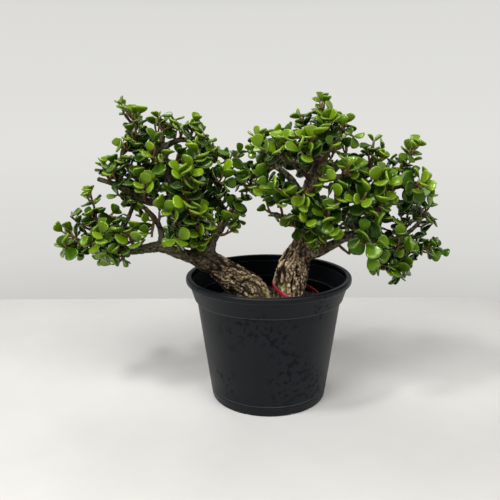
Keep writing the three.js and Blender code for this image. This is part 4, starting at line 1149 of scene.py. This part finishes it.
def dress_wood(name, limbs, material, node, moss_side):
    mesh = tree_skin(limbs)
    mesh.name = name
    points = points_of(mesh)
    parts = [Limb(shape, BARK["trunk_relief" if key == "trunk" else "limb_relief"])
             for key, shape in limbs.items()]
    for _ in range(SKIN["rounds"]):
        heights, outs, *_ = blended(parts, points)
        points = points - np.clip(heights, -SKIN["most"], SKIN["most"])[:, None] * outs
    _, outs, places, radii, shares = blended(parts, points)
    crack, plate, limb = np.zeros(len(points)), np.zeros(len(points)), np.zeros(len(points))
    for i, part in enumerate(parts):
        near = np.flatnonzero(shares[i] > SKIN["share"])
        if len(near):
            groove, swell = bark_relief(places[i][near], part.width, 7.3 * i)
            depth = np.clip(GROOVE["depth"] * radii[i][near], GROOVE["least"], GROOVE["deepest"])
            slim = np.clip((SLIM["from"] - radii[i][near]) / SLIM["grey_over"], 0, 1)
            crack[near] += shares[i][near] * groove
            plate[near] += shares[i][near] * depth * (swell - groove)
            limb[near] += shares[i][near] * slim
    for x, y, z, wide, high in BURLS:
        plate += high * np.exp(-((points - (x, y, z)) ** 2).sum(1) / wide ** 2)
    points = points + outs * plate[:, None]
    mesh.vertices.foreach_set("co", (points * MM).ravel())
    patch = noises(points / MOSS["wide"]) + 0.5 * noises(points / MOSS["narrow"])
    low = (MOSS["top"] - points[:, 2]) / MOSS["fade"]
    moss = np.clip(low + MOSS["patch"] * patch - MOSS["less"], 0, 1)
    moss *= np.clip(MOSS["base"] + moss_side * outs[:, 0], 0, MOSS["most"])
    mesh.materials.clear()
    mesh.materials.append(material)
    finish_mesh(mesh, np.stack([np.clip(crack, 0, 1), limb, np.clip(moss, 0, 1)], 1))
    return dressed(linked(name, mesh), "bark", node)


def blended(parts, points):
    """The limbs' heights over their surfaces, melted into one, and each limb's share in it."""
    measured = [part.measure(points) for part in parts]
    heights = np.array([m[0] for m in measured])
    lowest = heights.min(0)
    weights = np.exp(-np.clip((heights - lowest) / SKIN["blend"], 0, 40))
    total = weights.sum(0)
    shares = weights / total
    outs = unit_rows(sum(shares[i][:, None] * m[1] for i, m in enumerate(measured)))
    melted = lowest - SKIN["blend"] * np.log(total)
    return melted, outs, [m[2] for m in measured], [m[3] for m in measured], shares


# The pot: one turned shell with a rolled bead, a collar, a step, a fine line and notches at its foot
def arc(radius_at, height_at, size, start, end, steps):
    """Points of a rounded corner in the profile, with angles in degrees."""
    angles = [math.radians(lerp(start, end, i / steps)) for i in range(steps + 1)]
    return [(radius_at + size * math.cos(a), height_at + size * math.sin(a)) for a in angles]


def body_radius(height):
    return lerp(POT["base"], POT["body_top"], height / POT["collar"])


# Heights of the fine ribs round the inner wall
RIBS = (121, 117, 113)


def pot_profile():
    """Radius and height of each point, from the middle of the foot round to the floor inside."""
    p = POT
    foot, roll, lip, ledge = 1.6, 2.6, 1.2, 0.9
    bead_foot = p["height"] - p["bead"]
    line = p["line"]
    inner = p["collar_top"] - p["wall"]
    profile = [(0, 0.6), (p["base"] - 9, 0.6), (p["base"] - 7, 0)]
    profile += arc(p["base"] - foot, foot, foot, -90, 0, 5)
    profile += [(body_radius(line) - 0.1, line - 1), (body_radius(line) - 0.55, line - 0.3),
                (body_radius(line) - 0.5, line + 0.4), (body_radius(line) + 0.25, line + 1),
                (body_radius(line) + 0.1, line + 1.8)]
    profile += [(body_radius(h), h) for h in (30, 55, 80, 105, 120)]
    profile += [(p["body_top"] - 0.1, p["collar"] - 1.2), (p["body_top"] + 0.2, p["collar"] - 0.4)]
    profile += arc(p["collar_foot"] - ledge, p["collar"] + ledge, ledge, -90, 0, 4)
    profile += [(lerp(p["collar_foot"], p["collar_top"], t), lerp(p["collar"] + 1.5, bead_foot - 1, t))
                for t in (0.3, 0.7, 1)]
    profile += [(p["collar_top"] + 0.4, bead_foot - 0.2)]
    profile += arc(p["rim"] - roll, bead_foot + roll, roll, -100, 0, 7)
    profile += arc(p["rim"] - roll, p["height"] - roll, roll, 0, 90, 6)
    profile += arc(inner + lip, p["height"] - lip, lip, 90, 180, 4)
    profile += [(inner - 0.2, p["height"] - 8), (inner - 0.9, p["height"] - 8.6)]
    profile += [(p["collar_foot"] - p["wall"], p["collar"] + 2.6),
                (p["body_top"] - p["wall"], p["collar"] + 0.4)]
    for height in RIBS:
        wall = body_radius(height) - p["wall"]
        profile += [(wall, height + 0.9), (wall - 0.4, height), (wall, height - 0.9)]
    profile += [(body_radius(60) - p["wall"], 60), (p["base"] - p["wall"], p["floor"]), (0, p["floor"])]
    return profile


def turned(profile, sides):
    """A closed turned body; the profile starts and ends on the axis."""
    angles = np.arange(sides) * (2 * math.pi / sides)
    points = [np.array([[0, 0, profile[0][1]]])]
    for radius, height in profile[1:-1]:
        points.append(np.stack([radius * np.cos(angles), radius * np.sin(angles), np.full(sides, height)], 1))
    points.append(np.array([[0, 0, profile[-1][1]]]))
    rings = len(profile) - 2
    last = 1 + rings * sides
    faces = []
    for j in range(sides):
        k = (j + 1) % sides
        faces.append((0, 1 + k, 1 + j))
        faces.append((last, last - sides + j, last - sides + k))
        for i in range(rings - 1):
            low, high = 1 + i * sides, 1 + (i + 1) * sides
            faces.append((low + j, low + k, high + k, high + j))
    return np.vstack(points), faces


def cutter(points, faces):
    builder = Builder()
    builder.add(points, faces, (0, 0, 0))
    return builder.make("cutter")


def box_points(size, place, turn):
    corners = np.array([(x, y, z) for x in (-1, 1) for y in (-1, 1) for z in (-1, 1)]) * np.array(size) / 2
    corners = corners + np.array(place)
    cosine, sine = math.cos(turn), math.sin(turn)
    return corners @ np.array([[cosine, sine, 0], [-sine, cosine, 0], [0, 0, 1]])


BOX_FACES = [(0, 1, 3, 2), (4, 6, 7, 5), (0, 4, 5, 1), (2, 3, 7, 6), (0, 2, 6, 4), (1, 5, 7, 3)]


def cut(piece, tools):
    for tool in tools:
        step = piece.modifiers.new("cut", "BOOLEAN")
        step.operation = "DIFFERENCE"
        step.solver = "EXACT"
        step.object = tool
    mesh = bpy.data.meshes.new_from_object(piece.evaluated_get(bpy.context.evaluated_depsgraph_get()))
    piece.modifiers.clear()
    piece.data = mesh
    for tool in tools:
        bpy.data.objects.remove(tool)


# How finely the pot and its holes are turned, the angle from which an edge is sharp, and a foot
# notch's size inwards, along the foot and up
POT_SIDES, HOLE_SIDES, SHARP_EDGE, NOTCH = 168, 32, math.radians(38), (7, 5, 4)


def dress_pot(outside, shaded_inside_wall):
    builder = Builder()
    builder.add(*turned(pot_profile(), POT_SIDES), (0, 0, 0))
    pot = builder.make("pot_shell", outside, shaded_inside_wall)
    # Faces of the inner wall take the copy of the plastic with little gloss, as painted shade
    for face in pot.data.polygons:
        middle = face.center / MM
        out = math.hypot(middle.x, middle.y)
        wall = out < body_radius(middle.z) - 0.3
        collar = out < POT["collar_top"] - 1 and middle.z > POT["collar"]
        between = POT["floor"] - 0.1 < middle.z < POT["height"] - 1
        if between and (wall or collar) and face.normal.xy.dot(face.center.xy) < 0:
            face.material_index = 1
    tools = []
    for i in range(POT["notches"]):
        turn = 2 * math.pi * (i + POT["first_notch"]) / POT["notches"]
        tools.append(cutter(box_points(NOTCH, (POT["base"], 0, 0), turn), BOX_FACES))
    radius = POT["drain_radius"]
    for i in range(POT["drains"]):
        turn = 2 * math.pi * (i + POT["first_drain"]) / POT["drains"]
        place = np.array([math.cos(turn), math.sin(turn), 0]) * POT["drain_circle"]
        points, faces = turned([(0, -5), (radius, -5), (radius, 8), (0, 8)], HOLE_SIDES)
        tools.append(cutter(points + place, faces))
    cut(pot, tools)
    pot.data.name = "pot_shell"
    pot.data.polygons.foreach_set("use_smooth", [True] * len(pot.data.polygons))
    pot.data.set_sharp_from_angle(angle=SHARP_EDGE)
    return dressed(pot, "black_plastic", "nursery_pot")


# Soil: a low dome of dark mix with crumbs of bark, pale grains and tufts of moss on it
MIX = {"rings": 70, "sides": 150, "clear": 0.5, "bottom": 0.4, "margin": 5, "gap": 1, "seed": 977}
# Slow waves of the soil: how high, and how quick along x, along y and across both
WAVES = {"high": 0.8, "x": 0.21, "y": 0.17, "slant": 0.13}
# Lumps of the soil: how high, how wide, and which of the noise's layers
LUMPS = ((0.9, 7, 2), (0.5, 2.3, 5))


def soil_height(x, y):
    share = math.hypot(x, y) / (body_radius(SOIL["top"]) - POT["wall"])
    height = SOIL["top"] + SOIL["dome"] * (1 - share * share)
    height += WAVES["high"] * (math.sin(WAVES["x"] * x + 1) + math.cos(WAVES["y"] * y - WAVES["slant"] * x))
    return height + sum(high * noise.noise((x / wide, y / wide, layer)) for high, wide, layer in LUMPS)


def trunk_gap(x, y):
    """How far a spot on the soil is from the nearer trunk's bark."""
    gaps = []
    for limbs in LIMBS.values():
        foot = limbs["trunk"][1]
        gaps.append(math.hypot(x - foot[0], y - foot[1]) - foot[3])
    return min(gaps)


def dress_soil(material):
    wall, bottom = POT["wall"] + MIX["clear"], POT["floor"] + MIX["bottom"]
    edge = body_radius(SOIL["top"]) - wall
    rings = [(edge * i / MIX["rings"]) for i in range(MIX["rings"], -1, -1)]
    profile = [(0, bottom), (body_radius(bottom) - wall, bottom)]
    profile += [(radius, SOIL["top"]) for radius in rings]
    points, faces = turned(profile, MIX["sides"])
    for i, (x, y, z) in enumerate(points):
        if z > SOIL["top"] - 1:
            points[i, 2] = soil_height(x, y)
    builder = Builder()
    builder.add(points, faces, (0, 0, 0))
    return dressed(builder.make("soil_bed", material), "potting_mix", "soil")


# A crumb's rings and sides, its least width as a share of its length, and its most lean
PEBBLE = {"rings": 5, "sides": 7, "narrow": 0.55, "lean": 1.2}


def pebble(draw, place, size, flat, rough):
    """A small irregular body: a ball of few faces, squashed, turned and knocked about."""
    rings, sides = PEBBLE["rings"], PEBBLE["sides"]
    rows = []
    for i in range(rings):
        tilt = math.pi * (i + 0.5) / rings - math.pi / 2
        for j in range(sides):
            turn = 2 * math.pi * (j + 0.5 * (i % 2)) / sides
            rows.append((math.cos(tilt) * math.cos(turn), math.cos(tilt) * math.sin(turn), math.sin(tilt)))
    body = np.array(rows) * (1 + rough * (2 * np.array([draw() for _ in rows]) - 1))[:, None]
    body = body * np.array([1, lerp(PEBBLE["narrow"], 1, draw()), flat]) * size
    turn, lean = draw() * 2 * math.pi, (draw() - 0.5) * PEBBLE["lean"]
    spin = Matrix.Rotation(turn, 3, "Z") @ Matrix.Rotation(lean, 3, "X")
    return body @ np.array(spin).T + place, ring_faces(rings, sides)


def scatter(name, seed, material, count, sizes, flat, rough, lift, keep):
    draw = random_source(seed)
    builder = Builder()
    reach = body_radius(SOIL["top"]) - POT["wall"] - MIX["margin"]
    made = 0
    while made < count:
        x, y = (2 * draw() - 1) * reach, (2 * draw() - 1) * reach
        size = lerp(*sizes, draw() ** 2)
        if math.hypot(x, y) < reach - size and trunk_gap(x, y) > MIX["gap"] and keep(x, y):
            place = np.array([x, y, soil_height(x, y) + lift * size])
            points, faces = pebble(draw, place, size, flat, rough)
            builder.add(points, faces, (draw(), draw(), 0))
            made += 1
    return dressed(builder.make(name, material), "potting_mix")


# The band's section: half its height and thickness, how round, and how uneven it lies
BAND = {"half": 2.4, "thick": 0.62, "sides": 160, "section": 10, "round_out": 0.5, "round_up": 0.7,
        "uneven": 0.25}


def dress_tie(material):
    """A red band of plastic round the foot of the right tree, stiff, tilted and a little uneven."""
    sides, section = BAND["sides"], BAND["section"]
    tilt = math.radians(TIE["tilt"])
    spin = np.array(Matrix.Rotation(math.radians(TIE["rise"]), 3, "X") @ Matrix.Rotation(tilt, 3, "Y"))
    middle = TIE["radius"] - TIE["thickness"] / 2
    rows = []
    for i in range(sides):
        turn = 2 * math.pi * i / sides
        twist = BAND["uneven"] * math.sin(3 * turn + 1)
        lift = BAND["uneven"] * math.sin(5 * turn)
        cosine, sine = math.cos(twist), math.sin(twist)
        for j in range(section):
            angle = 2 * math.pi * j / section
            round_in, round_up = math.cos(angle), math.sin(angle)
            out = BAND["thick"] * math.copysign(abs(round_in) ** BAND["round_out"], round_in)
            up = BAND["half"] * math.copysign(abs(round_up) ** BAND["round_up"], round_up)
            out, up = out * cosine - up * sine, out * sine + up * cosine
            rows.append(((middle + out) * math.cos(turn), (middle + out) * math.sin(turn), up + lift))
    points = np.array(rows) @ spin.T + np.array(TIE["place"])
    faces = []
    for i in range(sides):
        for j in range(section):
            k, m = (i + 1) % sides, (j + 1) % section
            faces.append((i * section + j, k * section + j, k * section + m, i * section + m))
    builder = Builder()
    builder.add(points, faces, (0, 0, 0))
    return dressed(builder.make("tie_band", material), "red_plastic", "tie_ring")


# Tufts of moss grow near the trunks: how near, up to which x, and where the noise is over a least
TUFTS = {"gap": 16, "right": 10, "size": 9, "least": -0.1}


def anywhere(x, y):
    return True


def mossy(x, y):
    patch = noise.noise((x / TUFTS["size"], y / TUFTS["size"], 1))
    return trunk_gap(x, y) < TUFTS["gap"] and x < TUFTS["right"] and patch > TUFTS["least"]


# What lies on the soil: how many, the sizes, how flat, rough and raised it is, where it lies, its look
SCATTERED = {
    "bark_crumbs": (620, (1.1, 3.6), 0.5, 0.25, 0.15, anywhere,
                    ("bark_crumb", (0.016, 0.01, 0.007), (0.075, 0.048, 0.028), 300, 0.9)),
    "pale_grains": (70, (0.8, 2.0), 0.8, 0.2, 0.3, anywhere,
                    ("pale_grain", (0.35, 0.33, 0.3), (0.6, 0.58, 0.54), 500, 0.85)),
    "moss_tufts": (90, (1.0, 2.6), 0.6, 0.35, 0.1, mossy,
                   ("moss", (0.03, 0.05, 0.008), (0.13, 0.15, 0.03), 700, 0.95, 0.001)),
}

# The two barks: ridge, middle and crack, the darkening of the upper part (painted shadow of the crown with
# moss-blackening), and the side that moss takes to
BARKS = {
    "left": ((0.56, 0.455, 0.305), (0.13, 0.095, 0.062), (0.014, 0.007, 0.005), (0.62, 0.62, 0.6), 0.4),
    "right": ((0.82, 0.695, 0.51), (0.37, 0.28, 0.19), (0.035, 0.017, 0.012), (1.0, 1.0, 1.0), -1),
}

# The crowns are grown whole before anything is dressed
leaf_skin, stem_skin = leaf_material(), stem_material()
sprays, crowd = grow_crowns()
loose = fill_crown(sprays, crowd)
for spray in sprays:
    shade_inner_leaves(spray["leaves"], crowd, spray["tree"])
for tree, extra in loose.items():
    shade_inner_leaves(extra["leaves"], crowd, tree)


def dress_foliage(name, grown, *nodes):
    """One piece of stems, twigs and leaves, each with a chance of its own for its colour."""
    chances = random_source(sum(ord(letter) for letter in name))
    builder = Builder()
    for path in grown["strands"]:
        add_stem_mesh(builder, path, SHOOT["thick"], SHOOT["thin"], chances())
    for twig in grown["twigs"]:
        add_stem_mesh(builder, twig, FILL["thick"], FILL["thin"], chances(), twig.last)
    for leaf in grown["leaves"]:
        add_leaf_mesh(builder, leaf, chances())
    dressed(builder.make(name, leaf_skin, stem_skin), "foliage", *nodes)


for spray in sprays:
    dress_foliage(spray["name"] + "_fine", spray, spray["name"])
for tree, extra in loose.items():
    dress_foliage(f"inner_twigs_{tree}", extra)
for tree, (*colours, moss_side) in BARKS.items():
    bark = bark_material(f"bark_{tree}", *colours)
    dress_wood(f"wood_{tree}", LIMBS[tree], bark, f"trunk_{tree}", moss_side)
# The inner wall's copy of the plastic has little gloss: painted shade
dress_pot(pot_material(), pot_material("pot_inside_painted_shade", 0.025))
dress_soil(plain_material("dark_mix", (0.006, 0.0045, 0.0035), (0.028, 0.02, 0.014), 260, 0.95))
for order, (name, (*measures, look)) in enumerate(SCATTERED.items()):
    scatter(name, MIX["seed"] + order, plain_material(*look), *measures)
dress_tie(plain_material("red_band", (0.22, 0.006, 0.02), (0.29, 0.009, 0.028), 120, 0.35, 0.0001))

# Stage: a pale table that ends behind the pot, a plain pale world, and soft lamps
# How far the table reaches back, and how far to the other sides, in metres
TABLE_EDGE, TABLE_REACH = 0.372, 3
# Each lamp's place in metres, its size and its power; all point at the middle of the crowns
LAMPS = ((-0.55, -0.45, 1.35, 0.2, 8), (-0.4, -0.9, 1.5, 0.6, 9), (0.3, -0.75, 1.5, 0.6, 6.5),
         (0.8, -0.75, 1.1, 0.6, 4), (-0.35, 0.7, 1.35, 0.8, 8), (-0.95, -1.1, 0.95, 0.4, 4),
         (0.35, -1.05, 1.2, 0.3, 2.5))
LAMP_TARGET = (0, 0, 0.22)
# The room is darker behind the camera than at the pale wall: by the y of the direction
ROOM = {"behind": -0.9, "ahead": 0.3, "share": 0.75}
# Brightness of the room by the height of the direction, from a little below level up to straight up
LOWEST = -0.3
WORLD_TINT = (1.0, 0.993, 0.96)
WORLD = ((0.0, 0.60), (0.06, 0.695), (0.18, 0.765), (0.34, 0.72), (0.51, 0.33), (1.0, 0.18))

stage = bpy.data.meshes.new("table")
corners = [(-TABLE_REACH, -TABLE_REACH, 0), (TABLE_REACH, -TABLE_REACH, 0),
           (TABLE_REACH, TABLE_EDGE, 0), (-TABLE_REACH, TABLE_EDGE, 0)]
stage.from_pydata(corners, [], [(0, 1, 2, 3)])
table_top = plain_material("table_top", (0.56, 0.547, 0.525), (0.61, 0.597, 0.573), 3, 0.6, 0.0001)
stage.materials.append(table_top)
linked("table", stage)

world = bpy.data.worlds.new("studio")
world.use_nodes = True
sky = node_adder(world.node_tree)
heading = sky("ShaderNodeSeparateXYZ", {"Vector": sky("ShaderNodeTexCoord").outputs["Generated"]}).outputs
level = sky("ShaderNodeMapRange", {"Value": heading["Z"], "From Min": LOWEST}).outputs["Result"]
stops = [(place, [brightness * part for part in WORLD_TINT]) for place, brightness in WORLD]
depth = sky("ShaderNodeMapRange", {"Value": heading["Y"], "From Min": ROOM["behind"],
                                   "From Max": ROOM["ahead"], "To Min": ROOM["share"]}).outputs["Result"]
room = mix(sky, 1.0, ramp(sky, level, *stops), depth, "MULTIPLY")
world.node_tree.links.new(room, world.node_tree.nodes["Background"].inputs["Color"])
bpy.context.scene.world = world

for number, (x, y, z, size, power) in enumerate(LAMPS):
    light = bpy.data.lights.new(f"lamp_{number}", "AREA")
    light.shape, light.size, light.energy = "DISK", size, power
    lamp = linked(light.name, light)
    lamp.location = (x, y, z)
    lamp.rotation_euler = (Vector(LAMP_TARGET) - lamp.location).to_track_quat("-Z", "Y").to_euler()

view = bpy.data.cameras.new("view")
view.lens, view.sensor_width, view.clip_start, view.clip_end = CAMERA_LENS, 36, 0.01, 20
camera = linked("view", view)
tilt, roll = Matrix.Rotation(math.pi / 2 - CAMERA_PITCH, 4, "X"), Matrix.Rotation(CAMERA_ROLL, 4, "Z")
camera.matrix_world = Matrix.Translation(Vector(CAMERA_PLACE) * MM) @ tilt @ roll
bpy.context.scene.camera = camera
bpy.context.scene.view_settings.view_transform = "Standard"
